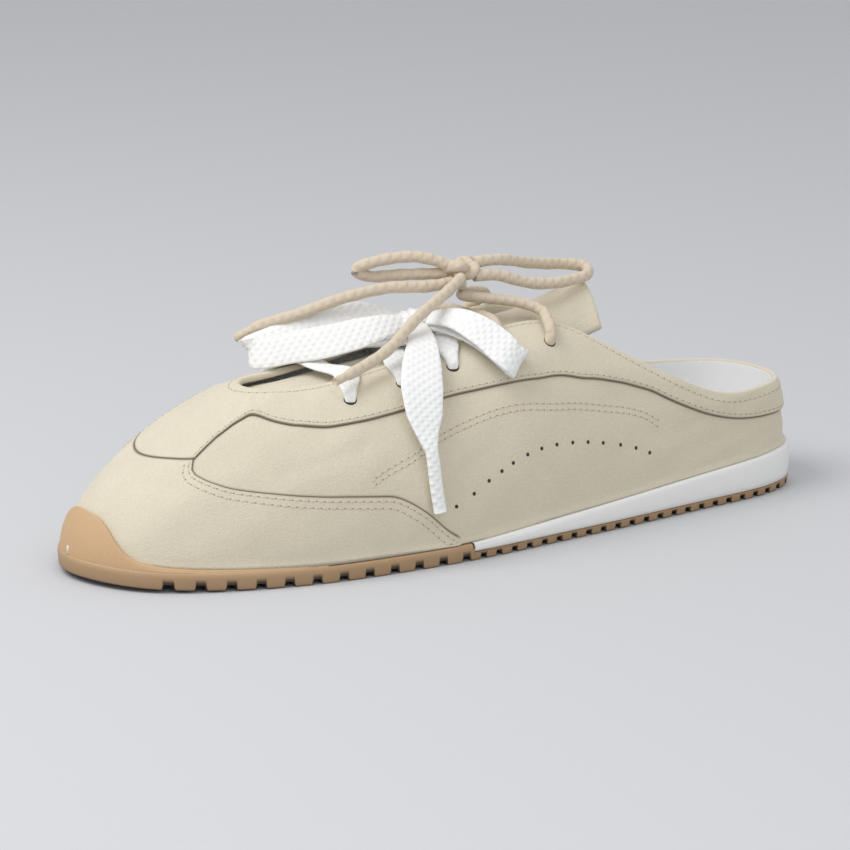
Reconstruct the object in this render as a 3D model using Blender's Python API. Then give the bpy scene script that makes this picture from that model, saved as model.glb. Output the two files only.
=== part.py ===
"""Sneaker mule, left shoe, women's EU 38: suede upper, gum outsole, white wedge and two laces.

Metres. +X points to the toe, +Y to the outer side of the foot and +Z up. The origin is on the floor
under the middle of the shoe.
"""

import math

import bmesh
import bpy
import numpy as np
from mathutils import Matrix

# Driving sizes
LENGTH = 0.266
BALL_WIDTH = 0.088
HEEL_RIM = 0.036
INSTEP_HEIGHT = 0.067
WALL = 0.002
OVERLAY = 0.0008
CLEARANCE = 0.0003
FEATHER_INSET = 0.0010
TOE_INSET = 0.0024

# Sole
GUM_FRONT = 0.0055
GUM_REAR = 0.0030
WEDGE_HEEL = 0.0150
WEDGE_FRONT = 0.148
TOE_SPRING = 0.0020
SPRING_START = 0.195
LUG_DEPTH = 0.0020
LUG_GAP_FRONT = 0.0034
LUG_GAP_REAR = 0.0022
LUG_PITCH_FRONT = 0.0088
LUG_PITCH_REAR = 0.0062
LUG_DRAFT = 0.0003
LUG_LAST = 0.252
INSOLE_THICKNESS = 0.0040
INSOLE_CLEARANCE = 0.0014
BUMPER_WALL = 0.0018
BUMPER_HEIGHT = 0.0140
BUMPER_ROOT = 0.0030

# Throat, tongue and laces
TONGUE_THICKNESS = 0.0022
EYELETS = 5
EYELET_DIAMETER = 0.0042
EYELET_PITCH = 0.0185
EYELET_FIRST = 0.1805
EYELET_SKEW = 0.0060
EYELET_SHARE = 0.80
WHITE_LACE_WIDTH = 0.0110
WHITE_BAR_WIDTH = 0.0080
WHITE_LACE_THICKNESS = 0.0012
WHITE_AGLET_WIDTH = 0.0040
BEIGE_LACE_DIAMETER = 0.0038
LACE_LIFT = 0.0006
WHITE_KNOT_CLEARANCE = 0.0008
BEIGE_KNOT_CLEARANCE = 0.0014
CROSS_SAG = 0.0012

# A row for each section round the shoe, from the middle of the heel over the outer side to the toe and
# back along the inner side. Each section is a rib from the sole's edge to the edge of the opening.
# along and edge_along are percent of LENGTH from the heel, side and edge_side percent of BALL_WIDTH,
# climb is percent of the way from HEEL_RIM to INSTEP_HEIGHT, rise and drop are percent of the rib's
# height, lean is percent of BALL_WIDTH outwards and reach is percent of the rib's run.
SECTION_COLUMNS = "along side edge_along edge_side climb rise lean reach drop".split()
SECTIONS = (
    (0.0, 2.8, 1.3, 2.8, 0, 35, 0.0, 45, 35),
    (2.1, 24.0, 3.5, 21.3, 0, 35, 0.0, 45, 35),
    (6.9, 32.2, 8.0, 28.4, -1, 35, 0.2, 45, 35),
    (15.0, 36.4, 14.7, 32.6, 2, 37, 0.5, 45, 32),
    (24.4, 39.8, 22.6, 31.2, 29, 42, 1.0, 45, 25),
    (33.8, 43.2, 31.2, 24.4, 70, 50, 1.5, 50, 16),
    (41.4, 45.5, 38.2, 17.6, 98, 55, 2.0, 56, 10),
    (48.1, 47.6, 44.6, 16.2, 98, 54, 2.0, 58, 9),
    (56.4, 49.4, 52.8, 15.2, 86, 50, 1.8, 60, 8),
    (65.8, 49.1, 61.3, 14.2, 72, 50, 1.4, 60, 9),
    (75.2, 46.6, 69.3, 12.5, 61, 50, 1.0, 60, 11),
    (82.7, 41.6, 74.6, 9.0, 59, 45, 0.3, 56, 15),
    (90.2, 33.4, 76.6, 4.8, 59, 42, 0.2, 53, 17),
    (95.5, 23.0, 77.3, 1.8, 59, 40, -0.4, 51, 20),
    (98.7, 9.0, 77.6, -1.2, 59, 38, -1.0, 50, 24),
    (100.0, -6.5, 77.6, -3.6, 59, 38, -1.2, 50, 26),
    (98.6, -20.5, 77.4, -6.0, 59, 39, -1.0, 50, 24),
    (94.6, -34.0, 76.6, -8.8, 60, 42, -0.3, 52, 19),
    (87.8, -44.2, 74.6, -11.2, 61, 46, 0.3, 55, 15),
    (78.9, -49.8, 69.8, -12.4, 63, 46, 0.6, 56, 15),
    (69.5, -47.2, 61.8, -12.8, 72, 50, 1.0, 60, 11),
    (60.2, -38.1, 53.2, -13.2, 84, 54, 1.2, 62, 9),
    (50.8, -29.5, 44.8, -13.8, 97, 58, 1.5, 62, 9),
    (41.4, -26.8, 38.2, -14.8, 98, 58, 2.0, 60, 10),
    (32.0, -28.4, 31.2, -20.6, 70, 50, 1.5, 50, 16),
    (22.6, -31.4, 22.6, -26.4, 29, 42, 1.0, 45, 25),
    (13.2, -31.6, 14.2, -27.8, 2, 37, 0.5, 45, 32),
    (6.8, -26.7, 7.6, -23.8, -1, 35, 0.2, 45, 35),
    (2.3, -16.5, 3.3, -15.0, 0, 35, 0.0, 45, 35),
)


# The inset panel on each side: its lower edge, on the toe piece, and its upper edge, on the eyestay and
# collar, in percent of the rib, against the foot of the rib in percent of LENGTH.
PANEL_COLUMNS = "along low high".split()
PANEL = (
    (0.0, 0.0, 52.0),
    (7.7, 0.0, 60.0),
    (15.8, 0.0, 70.0),
    (20.8, 0.0, 74.0),
    (27.3, 0.0, 77.5),
    (31.8, 0.0, 72.0),
    (38.0, 0.0, 61.0),
    (44.3, 0.0, 58.5),
    (50.4, 0.0, 61.5),
    (56.1, 0.5, 64.5),
    (58.6, 5.0, 65.0),
    (61.3, 13.5, 65.0),
    (63.8, 20.0, 65.0),
    (66.0, 24.5, 65.0),
    (69.3, 26.5, 65.2),
    (74.7, 30.0, 67.5),
    (78.3, 33.0, 71.7),
    (83.0, 37.5, 78.5),
    (85.4, 39.5, 81.5),
    (87.7, 41.5, 82.5),
    (90.7, 45.5, 76.5),
    (92.7, 49.0, 69.0),
    (93.6, 52.0, 62.5),
    (94.2, 56.5, 58.0),
)
PANEL_LEAST = 0.03

# The tongue, a row for each cross section from its front to its top edge: along in percent of LENGTH
# from the heel, crown and droop in percent of INSTEP_HEIGHT, half_width in percent of BALL_WIDTH.
TONGUE_COLUMNS = "along crown droop half_width".split()
TONGUE = (
    (80.5, 69.0, 5.0, 9.0),
    (77.0, 75.5, 4.6, 13.0),
    (72.2, 78.8, 6.0, 18.0),
    (67.7, 80.6, 7.6, 20.0),
    (60.2, 85.8, 8.8, 20.4),
    (53.8, 90.3, 10.0, 20.6),
    (47.0, 95.9, 12.4, 20.4),
    (40.6, 100.3, 15.8, 19.2),
    (36.6, 104.3, 18.6, 17.0),
    (33.4, 109.0, 20.5, 15.8),
    (30.4, 114.0, 21.5, 16.4),
)
TONGUE_AXIS = ((80.5, -4.0), (60.0, 1.6), (30.4, 2.6))

# How far the gum stands up the suede round the toe: along in percent of LENGTH, on the outer and on
# the inner side, and height in percent of BUMPER_HEIGHT.
BUMPER_COLUMNS = "along height".split()
BUMPER = (
    (74.0, 0.0),
    (84.0, 4.0),
    (91.5, 10.0),
    (95.6, 17.0),
    (97.0, 28.0),
    (98.0, 52.0),
    (98.9, 78.0),
    (99.6, 96.0),
    (100.0, 100.0),
)


def table_column(rows, columns, name):
    return np.array([row[columns.index(name)] for row in rows]) / 100


def column(name):
    """One column of SECTIONS as shares."""
    return table_column(SECTIONS, SECTION_COLUMNS, name)


def loop_spline(knots, values, at):
    """A closed cubic spline through values at knots, read at the places at; the last knot closes it."""
    count = len(values)
    gap = np.diff(knots)
    slope = (np.roll(values, -1, 0) - values) / gap[:, None]
    matrix = np.zeros((count, count))
    for i in range(count):
        matrix[i, i - 1] = gap[i - 1]
        matrix[i, i] = 2 * (gap[i - 1] + gap[i])
        matrix[i, (i + 1) % count] = gap[i]
    bend = np.linalg.solve(matrix, 6 * (slope - np.roll(slope, 1, 0)))
    at = np.mod(at, knots[-1])
    k = np.clip(np.searchsorted(knots, at, side="right") - 1, 0, count - 1)
    step = gap[k][..., None]
    far = (at - knots[k])[..., None] / step
    near = 1 - far
    after = (k + 1) % count
    curve = near * values[k] + far * values[after]
    curve += step**2 / 6 * ((near**3 - near) * bend[k] + (far**3 - far) * bend[after])
    return curve


FOOT_POINTS = np.stack([column("along") * LENGTH - LENGTH / 2, column("side") * BALL_WIDTH], 1)
FOOT_STEPS = np.linalg.norm(np.roll(FOOT_POINTS, -1, 0) - FOOT_POINTS, axis=1)
TURN_KNOTS = np.concatenate([[0], np.cumsum(FOOT_STEPS)]) / FOOT_STEPS.sum()


def outline(turn, inset=0.0):
    """The sole's edge in plan at each turn, 0 to 1 round the shoe, moved inwards by inset."""
    point = loop_spline(TURN_KNOTS, FOOT_POINTS, turn)
    ahead = loop_spline(TURN_KNOTS, FOOT_POINTS, turn + 0.001)
    behind = loop_spline(TURN_KNOTS, FOOT_POINTS, turn - 0.001)
    along = ahead - behind
    along /= np.linalg.norm(along, axis=-1, keepdims=True)
    inwards = np.stack([along[..., 1], -along[..., 0]], -1)
    return point + inwards * np.asarray(inset)[..., None]


def from_heel(x):
    return x + LENGTH / 2


def spring(x):
    """Height of the sole's underside: flat, and from SPRING_START curved up to the toe."""
    share = np.clip((from_heel(x) - SPRING_START) / (LENGTH - SPRING_START), 0, 1)
    return TOE_SPRING * share**2


def sole_top(x):
    """Height of the top of the sole: gum in front, and behind WEDGE_FRONT the wedge rising to the heel."""
    share = np.clip(1 - from_heel(x) / WEDGE_FRONT, 0, 1)
    return GUM_FRONT + spring(x) + (WEDGE_HEEL - GUM_FRONT) * share


def feather_inset(x):
    """How far the upper stands inside the sole's edge, more at the toe for the bumper."""
    share = np.clip((from_heel(x) - SPRING_START) / (LENGTH - SPRING_START), 0, 1)
    return FEATHER_INSET + (TOE_INSET - FEATHER_INSET) * share * share * (3 - 2 * share)


def ribs(turn):
    """The four control points of the upper's rib at each turn."""
    names = ["edge_along", "edge_side", "climb", "rise", "lean", "reach", "drop"]
    values = loop_spline(TURN_KNOTS, np.stack([column(name) for name in names], 1), turn)
    edge_along, edge_side, climb, rise, lean, reach, drop = values.T
    x = outline(turn)[:, 0]
    inset = feather_inset(x)
    foot = outline(turn, inset)
    low = sole_top(foot[:, 0]) + CLEARANCE
    top = HEEL_RIM + climb * (INSTEP_HEIGHT - HEEL_RIM)
    height = top - low
    start = np.column_stack([foot, low])
    end = np.column_stack([edge_along * LENGTH - LENGTH / 2, edge_side * BALL_WIDTH, top])
    outwards = outline(turn) - outline(turn, 0.001)
    outwards /= np.linalg.norm(outwards, axis=1, keepdims=True)
    wall = np.column_stack([foot + outwards * (lean * BALL_WIDTH)[:, None], low + rise * height])
    shoulder = end.copy()
    shoulder[:, :2] += (foot - end[:, :2]) * reach[:, None]
    shoulder[:, 2] -= drop * height
    return start, wall, shoulder, end


def upper_surface(turn, share):
    """Points of the upper's outer face: the rib at each turn is a cubic curve, read at each share."""
    start, wall, shoulder, end = (point[:, None, :] for point in ribs(turn))
    t = share[..., None] if share.ndim == 2 else share[None, :, None]
    return (1 - t) ** 3 * start + 3 * (1 - t) ** 2 * t * wall + 3 * (1 - t) * t**2 * shoulder + t**3 * end


def normals(grid):
    """Unit normals of a grid of points that closes on itself in its first direction, pointing outwards."""
    around = np.roll(grid, -1, 0) - np.roll(grid, 1, 0)
    up = np.gradient(grid, axis=1)
    normal = np.cross(up, around)
    return normal / np.linalg.norm(normal, axis=-1, keepdims=True)


def spaced_turns(count):
    """Places round the shoe, closer together where the inset panel is rounded off."""
    fine = np.linspace(0, 1, 4001)
    along = from_heel(outline(fine)[:, 0]) / LENGTH
    weight = 1 + 1.6 * np.exp(-(((along - 0.915) / 0.04) ** 2))
    total = np.concatenate([[0], np.cumsum((weight[1:] + weight[:-1]) / 2)])
    return np.interp(np.arange(count) / count, total / total[-1], fine)


def panel_edges(turn):
    """Lower and upper edge of the inset panel as shares of each rib, a closed slit where there is none."""
    along = from_heel(outline(turn)[:, 0]) / LENGTH
    at = table_column(PANEL, PANEL_COLUMNS, "along")
    low = np.interp(along, at, table_column(PANEL, PANEL_COLUMNS, "low"))
    high = np.interp(along, at, table_column(PANEL, PANEL_COLUMNS, "high"))
    return low, high


def ramp(value, start, width):
    return np.clip((value - start) / width, 0, 1)


def sheet_faces(around, rows, start, flip=False):
    """Quads of a grid of around by rows points that closes on itself, from vertex number start."""
    i = np.arange(around)[:, None]
    j = np.arange(rows - 1)[None, :]
    after = (i + 1) % around
    quads = np.stack([i * rows + j, after * rows + j, after * rows + j + 1, i * rows + j + 1], -1)
    quads = quads.reshape(-1, 4) + start
    return quads[:, ::-1] if flip else quads


def mesh_object(name, points, faces, material, collection):
    mesh = bpy.data.meshes.new(name)
    mesh.from_pydata([tuple(p) for p in points], [], [tuple(int(i) for i in f) for f in faces])
    mesh.validate()
    obj = bpy.data.objects.new(name, mesh)
    collection.objects.link(obj)
    if material:
        mesh.materials.append(material)
        smooth(mesh)
    return obj


def smooth(mesh):
    mesh.shade_smooth()
    mesh.set_sharp_from_angle(angle=math.radians(35))


def grid_object(name, points, material, collection):
    """A closed solid from rings of points: rings joined in order, with both ends capped."""
    rings, size = points.shape[:2]
    faces = []
    for r in range(rings - 1):
        for k in range(size):
            after = (k + 1) % size
            faces.append((r * size + k, r * size + after, (r + 1) * size + after, (r + 1) * size + k))
    faces.append(tuple(range(size))[::-1])
    faces.append(tuple((rings - 1) * size + k for k in range(size)))
    obj = mesh_object(name, points.reshape(-1, 3), faces, material, collection)
    face_out(obj)
    return obj


def face_out(obj):
    work = bmesh.new()
    work.from_mesh(obj.data)
    bmesh.ops.recalc_face_normals(work, faces=work.faces)
    work.to_mesh(obj.data)
    work.free()


def boolean(obj, other, operation):
    modifier = obj.modifiers.new(operation.lower(), "BOOLEAN")
    modifier.operation = operation
    modifier.object = other
    modifier.solver = "EXACT"


def as_cutter(obj):
    obj.hide_render = True
    obj.display_type = "WIRE"


# Upper


def eyelet_places():
    """Turn of each eyelet, outer side first and front to back, where its rib passes the row's place."""
    fine = np.linspace(0, 1, 2001)
    x = from_heel(upper_surface(fine, np.array([EYELET_SHARE]))[:, 0, 0])
    toe = int(np.argmax(x))
    sides = []
    for skew, part in ((0.0, slice(0, toe)), (EYELET_SKEW, slice(toe, None))):
        turn, place = fine[part], x[part]
        order = np.argsort(place)
        row = [EYELET_FIRST + skew - EYELET_PITCH * i for i in range(EYELETS)]
        sides.append(np.interp(row, place[order], turn[order]))
    return sides


def surface_frame(turn, share, lift=0.0):
    """A point on the upper lifted off it, with the outward normal and the direction along the rib."""
    turns = turn + np.array([-0.001, 0, 0.001])
    shares = share + np.array([-0.005, 0, 0.005])
    patch = upper_surface(turns, shares)
    around = patch[2, 1] - patch[0, 1]
    up = patch[1, 2] - patch[1, 0]
    normal = np.cross(up, around)
    normal /= np.linalg.norm(normal)
    return patch[1, 1] + normal * lift, normal, up / np.linalg.norm(up)


def make_upper(material, collection, cutters):
    turn = spaced_turns(120)
    low, high = panel_edges(turn)
    has_low = ramp(low, PANEL_LEAST, 0.03)
    has_panel = ramp(high - low, 0.02, 0.05)
    low = np.clip(low, PANEL_LEAST, None)
    high = np.maximum(high, low + 0.02)
    lip = 0.006
    middle = (low + high) / 2
    shares = [0 * low, low * 0.5, low - lip, low + lip, low * 0.65 + high * 0.35, middle * 0.6 + high * 0.4]
    shares += [high - lip, high + lip, high * 0.6 + 0.4, high * 0.25 + 0.75, 0 * low + 1]
    sinks = [0, 0, 0, 1, 1, 1, 1, 0, 0, 0, 0]
    grid_share = np.stack(shares, 1)
    face = upper_surface(turn, grid_share)
    normal = normals(face)
    sink = np.zeros_like(grid_share)
    for row, sunk in enumerate(sinks):
        sink[:, row] = sunk * has_panel
    sink[:, 0:3] = ((1 - has_low) * has_panel)[:, None]
    outer = face - normal * (sink * OVERLAY)[..., None]
    inner_share = np.array([0.0, 0.14, 0.3, 0.46, 0.62, 0.8, 1.0])
    inner_face = upper_surface(turn, inner_share)
    inner = inner_face - normals(inner_face) * WALL
    inner[:, 0, 2] = outer[:, 0, 2]
    count, rows, inner_rows = len(turn), grid_share.shape[1], len(inner_share)
    start = count * rows
    faces = [sheet_faces(count, rows, 0), sheet_faces(count, inner_rows, start, flip=True)]
    i = np.arange(count)
    after = (i + 1) % count
    bottom = np.stack([i * rows, start + i * inner_rows, start + after * inner_rows, after * rows], 1)
    top_outer, top_inner = i * rows + rows - 1, start + i * inner_rows + inner_rows - 1
    top = np.stack([top_outer, top_outer[after], top_inner[after], top_inner], 1)
    faces += [bottom, top]
    points = np.concatenate([outer.reshape(-1, 3), inner.reshape(-1, 3)])
    upper = mesh_object("upper", points, np.concatenate(faces), material, collection)
    face_out(upper)
    boolean(upper, make_eyelet_cutter(cutters), "DIFFERENCE")
    return upper


def make_eyelet_cutter(cutters):
    """Ten short rods through the wall, one at each eyelet, as one mesh."""
    work = bmesh.new()
    for side in eyelet_places():
        for turn in side:
            point, normal, up = surface_frame(turn, EYELET_SHARE, -WALL / 2)
            across = np.cross(up, normal)
            made = bmesh.ops.create_cone(
                work,
                cap_ends=True,
                segments=10,
                radius1=EYELET_DIAMETER / 2,
                radius2=EYELET_DIAMETER / 2,
                depth=WALL * 3,
            )
            for vert in made["verts"]:
                x, y, z = vert.co
                vert.co = point + across * x + up * y + normal * z
    mesh = bpy.data.meshes.new("eyelet_holes")
    work.to_mesh(mesh)
    work.free()
    holes = bpy.data.objects.new("eyelet_holes", mesh)
    cutters.objects.link(holes)
    face_out(holes)
    as_cutter(holes)
    return holes


# Sole


def side_point(x, sign, inset):
    """Where the sole's edge, moved inwards by inset, crosses the line across the shoe at x."""
    fine = np.linspace(0, 1, 3001)[:-1]
    edge = outline(fine, np.full(fine.shape, inset))
    toe, heel = int(np.argmax(edge[:, 0])), int(np.argmin(edge[:, 0]))
    edge = np.roll(edge, -heel, 0)
    toe = (toe - heel) % len(edge)
    side = edge[: toe + 1] if sign > 0 else edge[toe:][::-1]
    return np.interp(x, side[:, 0], side[:, 1])


def end_stations(count, low, high):
    """Places from low to high, closer together at both ends, where the outline is round."""
    return (low + high) / 2 - (high - low) / 2 * np.cos(np.linspace(0, math.pi, count))


def plate(name, x, bottom, top, inset, material, collection):
    """A solid across the shoe: a rung at each x from the inner to the outer edge, between two heights."""
    left, right = side_point(x, 1, inset), side_point(x, -1, inset)
    rungs = np.stack(
        [
            np.column_stack([x, right, bottom]),
            np.column_stack([x, left, bottom]),
            np.column_stack([x, left, top]),
            np.column_stack([x, right, top]),
        ],
        1,
    )
    return grid_object(name, rungs, material, collection)


def lug_places():
    """Gaps between the lugs as pairs of places from the heel, finer behind the wedge's front."""
    gaps = []
    place = LUG_PITCH_REAR
    while place < LUG_LAST:
        front = place > WEDGE_FRONT
        gap = LUG_GAP_FRONT if front else LUG_GAP_REAR
        gaps.append((place, place + gap))
        place += LUG_PITCH_FRONT if front else LUG_PITCH_REAR
    return gaps


def make_outsole(material, collection, cutters):
    """Gum sheet with a rung at each change of height: lugs below, the step to the wedge above."""
    margin = 0.0006
    rounds = end_stations(60, -LENGTH / 2 + margin, LENGTH / 2 - margin)
    bottoms, stations = [], []
    for start, end in lug_places():
        stations += [start - LUG_DRAFT, start, end, end + LUG_DRAFT]
        bottoms += [0, 1, 1, 0]
    stations = np.array(stations) - LENGTH / 2
    bottoms = np.array(bottoms, float)
    step = WEDGE_FRONT - LENGTH / 2
    extra = np.concatenate([rounds, [step - LUG_DRAFT, step]])
    far = np.array([np.abs(stations - x).min() > 0.0004 for x in extra])
    x = np.concatenate([stations, extra[far]])
    cut = np.concatenate([bottoms, np.interp(extra[far], stations, bottoms, left=0, right=0)])
    order = np.argsort(x)
    x, cut = x[order], cut[order]
    bottom = spring(x) + cut * LUG_DEPTH
    top = np.where(x < step - LUG_DRAFT / 2, GUM_REAR, sole_top(x))
    sole = plate("outsole", x, bottom, top, 0.0, material, collection)
    boolean(sole, make_bumper(cutters), "UNION")
    return sole


def make_bumper(cutters):
    """The gum that stands up the suede: a thin wall on the upper's own face, joined to the sole."""
    rows = table_column(BUMPER, BUMPER_COLUMNS, "along")
    height = table_column(BUMPER, BUMPER_COLUMNS, "height") * BUMPER_HEIGHT
    fine = np.linspace(0, 1, 2001)
    reached = fine[from_heel(outline(fine)[:, 0]) / LENGTH > rows[0] + 0.01]
    turn = np.linspace(reached[0], reached[-1], 54)
    along = from_heel(outline(turn)[:, 0]) / LENGTH
    stand = np.interp(along, rows, height) + LUG_DRAFT
    ring = upper_surface(turn, np.linspace(0, 0.45, 46))
    rise = ring[:, :, 2] - ring[:, :1, 2]
    share = np.array([np.interp(stand[k], rise[k], np.linspace(0, 0.45, 46)) for k in range(len(turn))])
    steps = np.array([0.0, 0.34, 0.67, 1.0])
    face = upper_surface(turn, share[:, None] * steps[None, :])
    beside = upper_surface(turn + 0.001, share[:, None] * steps[None, :])
    above = upper_surface(turn, share[:, None] * steps[None, :] + 0.01)
    normal = np.cross(above - face, beside - face)
    normal /= np.linalg.norm(normal, axis=-1, keepdims=True)
    thick = np.minimum(BUMPER_WALL, feather_inset(outline(turn)[:, 0]) - CLEARANCE - 0.0001)
    inner = face + normal * CLEARANCE
    taper = np.array([1.0, 1.0, 0.95, 0.7])
    outer = face + normal * (CLEARANCE + thick[:, None, None] * taper[None, :, None])
    root_inner, root_outer = inner[:, :1].copy(), outer[:, :1].copy()
    root_inner[..., 2] = BUMPER_ROOT
    root_outer[..., 2] = BUMPER_ROOT
    section = np.concatenate([root_outer, outer, inner[:, ::-1], root_inner], 1)
    bumper = grid_object("toe_bumper", section, None, cutters)
    as_cutter(bumper)
    return bumper


def make_midsole(material, collection):
    """White wedge from the heel to WEDGE_FRONT, clear of the gum below and in front of it."""
    x = end_stations(44, -LENGTH / 2 + 0.0006, 2 * WEDGE_FRONT - LENGTH / 2)
    x = x[x < WEDGE_FRONT - LENGTH / 2 - 0.004]
    x = np.append(x, WEDGE_FRONT - LENGTH / 2 - LUG_DRAFT - CLEARANCE)
    bottom = np.full(x.shape, GUM_REAR + CLEARANCE)
    return plate("midsole", x, bottom, sole_top(x), 0.0, material, collection)


def make_insole(material, collection):
    """The footbed, a plate that lies on the sole inside the upper's wall."""
    inset = FEATHER_INSET + WALL + INSOLE_CLEARANCE
    toe = TOE_INSET + WALL + INSOLE_CLEARANCE
    x = end_stations(46, -LENGTH / 2 + inset + 0.0008, LENGTH / 2 - toe - 0.0008)
    low = sole_top(x) + CLEARANCE
    return plate("insole", x, low, low + INSOLE_THICKNESS, toe, material, collection)


# Tongue


def tongue_section(place):
    """Middle line, crown, droop and half width of the tongue at a share of its rows."""
    rows = np.array(TONGUE) / 100
    at = np.linspace(0, 1, len(rows))
    values = np.array([natural_spline(at, rows[:, k], place) for k in range(4)])
    axis = np.array(TONGUE_AXIS) / 100
    middle = np.interp(values[0], axis[::-1, 0], axis[::-1, 1]) * BALL_WIDTH
    return values[0] * LENGTH, middle, values[1] * INSTEP_HEIGHT, values[2] * INSTEP_HEIGHT, values[3] * BALL_WIDTH


def natural_spline(knots, values, at):
    """An open cubic spline through values at knots, with straight ends."""
    count = len(knots)
    gap = np.diff(knots)
    slope = np.diff(values, axis=0) / gap.reshape((-1,) + (1,) * (np.ndim(values) - 1))
    matrix = np.eye(count)
    right = np.zeros_like(np.asarray(values, float))
    for i in range(1, count - 1):
        matrix[i, i - 1] = gap[i - 1]
        matrix[i, i] = 2 * (gap[i - 1] + gap[i])
        matrix[i, i + 1] = gap[i]
        right[i] = 6 * (slope[i] - slope[i - 1])
    bend = np.linalg.solve(matrix, right)
    k = np.clip(np.searchsorted(knots, at, side="right") - 1, 0, count - 2)
    shape = (-1,) + (1,) * (np.ndim(values) - 1)
    step = gap[k].reshape(shape)
    far = ((np.atleast_1d(at) - knots[k]) / gap[k]).reshape(shape)
    near = 1 - far
    values = np.asarray(values, float)
    curve = near * values[k] + far * values[k + 1]
    curve += step**2 / 6 * ((near**3 - near) * bend[k] + (far**3 - far) * bend[k + 1])
    return curve.reshape(np.shape(at) + np.shape(values)[1:])


def make_tongue(material, collection):
    """A bent sheet: cross sections like low arches, carried back from under the vamp to the top edge."""
    place = np.linspace(0, 1, 26)
    along, middle, crown, droop, half = tongue_section(place)
    across = np.linspace(-1, 1, 15)
    x = np.repeat((along - LENGTH / 2)[:, None], len(across), 1)
    y = middle[:, None] + half[:, None] * across
    z = crown[:, None] - droop[:, None] * np.abs(across) ** 2.1
    top = np.stack([x, y, z], -1)
    normal = np.cross(np.gradient(top, axis=1), np.gradient(top, axis=0))
    normal /= np.linalg.norm(normal, axis=-1, keepdims=True)
    normal *= np.sign(normal[..., 2:3])
    below = top - normal * TONGUE_THICKNESS
    section = np.concatenate([top, below[:, ::-1]], 1)
    return grid_object("tongue", section, material, collection)


# Laces. Routes are lists of places in millimetres, x from the heel, chosen by hand. A flat lace also has
# its width at each place and the direction across it.

WHITE_KNOT = ((144.5, 2.0, 68.1), (6.0, 6.5, 4.8))
BEIGE_KNOT = ((127.0, 2.0, 82.9), (6.2, 5.2, 5.6))
WHITE_ROUTES = {
    "white_lace_loop_front": (
        (0.0, -0.62, 0.78),
        (
            (151.5, -1.5, 69.2, 4.5),
            (160, -5, 70.0, 8.5),
            (170, -9, 69.0, 11),
            (180, -13, 67.5, 11),
            (189, -17, 65.0, 11),
            (196, -18.5, 63.0, 11),
            (194, -13.5, 64.5, 11),
            (185, -8, 68.0, 11),
            (175, -3, 70.5, 11),
            (165, 1, 72.2, 10),
            (157, 3, 72.2, 7),
            (151.6, 4, 71.6, 4.5),
        ),
    ),
    "white_lace_loop_side": (
        (0.1, -0.6, 0.8),
        (
            (140.6, 9.4, 71.2, 4.5),
            (136.5, 16, 72.0, 8),
            (132, 23, 70.8, 11),
            (127, 29, 67.2, 11),
            (121.5, 32.6, 62.8, 11),
            (123.5, 36.6, 59.6, 11),
            (129.5, 37.4, 58.2, 11),
            (135.5, 32.4, 61.0, 10),
            (140, 23, 66.6, 7),
            (142.6, 9.9, 69.2, 4.5),
        ),
    ),
    "white_lace_end_outer": (
        (0.97, -0.2, 0.0),
        (
            (146.8, 9.2, 68.6, 4.5),
            (150, 17, 66.4, 8),
            (154, 24.5, 61.5, 10.5),
            (157.5, 31, 56.0, 12),
            (159.5, 36, 49.0, 12),
            (160.5, 39.3, 42.5, 8),
            (160.4, 41.3, 37.0, 4),
            (160, 43.0, 28.0, 4),
            (159, 44.6, 18.0, 4),
        ),
    ),
    "white_lace_end_inner": (
        (0.97, 0.2, 0.0),
        (
            (146.5, -5.6, 69.0, 4.5),
            (150, -14, 67.0, 8),
            (155, -21, 62.5, 10.5),
            (159, -28, 57.0, 12),
            (161, -33.5, 50.0, 12),
            (161.5, -36.8, 43.0, 8),
            (161.3, -38.2, 38.0, 4),
            (161, -39.4, 30.0, 4),
            (160, -40.2, 21.0, 4),
        ),
    ),
}
BEIGE_ROUTES = {
    "beige_lace_loop_front": (
        (133.8, 1.6, 87.0),
        (142, -2.5, 88.0),
        (151, -6, 87.8),
        (158, -9, 86.2),
        (161.5, -11, 84.4),
        (157.5, -10.5, 82.8),
        (150, -8, 82.6),
        (141, -4, 83.0),
        (133.8, -2.2, 82.0),
    ),
    "beige_lace_loop_back": (
        (120.4, 1.6, 86.8),
        (112, 2.6, 86.6),
        (102, 1, 84.4),
        (92, -1.5, 81.6),
        (83, -2.5, 80.0),
        (76.5, 0.5, 78.6),
        (79, 5.5, 78.0),
        (87, 7.6, 77.6),
        (97, 7.6, 77.4),
        (107, 6.5, 79.2),
        (114.5, 5.4, 81.0),
        (120.6, 6.4, 80.6),
    ),
    "beige_lace_end_front": (
        (133.5, 3.4, 78.0),
        (141, 1.8, 79.4),
        (150, 0, 80.0),
        (160, -3, 79.6),
        (170, -8, 77.8),
        (179, -14, 74.8),
        (187, -23.2, 71.8),
        (193.6, -30.0, 66.0),
    ),
    "beige_lace_end_side": (
        (130.4, 8.4, 81.2),
        (138, 9.6, 78.2),
        (146, 12.5, 75.2),
        (155, 15.4, 70.6),
        (163, 17.4, 65.4),
        (171, 18.8, 62.0),
        (179, 20.2, 59.6),
        (186, 21.6, 58.0),
    ),
}
TIE_TOP = ((126.2, 2.0, 75.1),)


def placed(route):
    """A hand-chosen route in metres in the shoe's frame."""
    route = np.array(route, float)[:, :3] / 1000
    route[:, 0] -= LENGTH / 2
    return route


def meet(knot, point, clearance):
    """The place in the direction of a point where a lace's end face meets a knot, with a clearance."""
    place, radii = (np.array(part) / 1000 for part in knot)
    way = point - place - [-LENGTH / 2, 0, 0]
    reach = way / np.linalg.norm(way / radii)
    return place + [-LENGTH / 2, 0, 0] + reach + clearance * way / np.linalg.norm(way)


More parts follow.
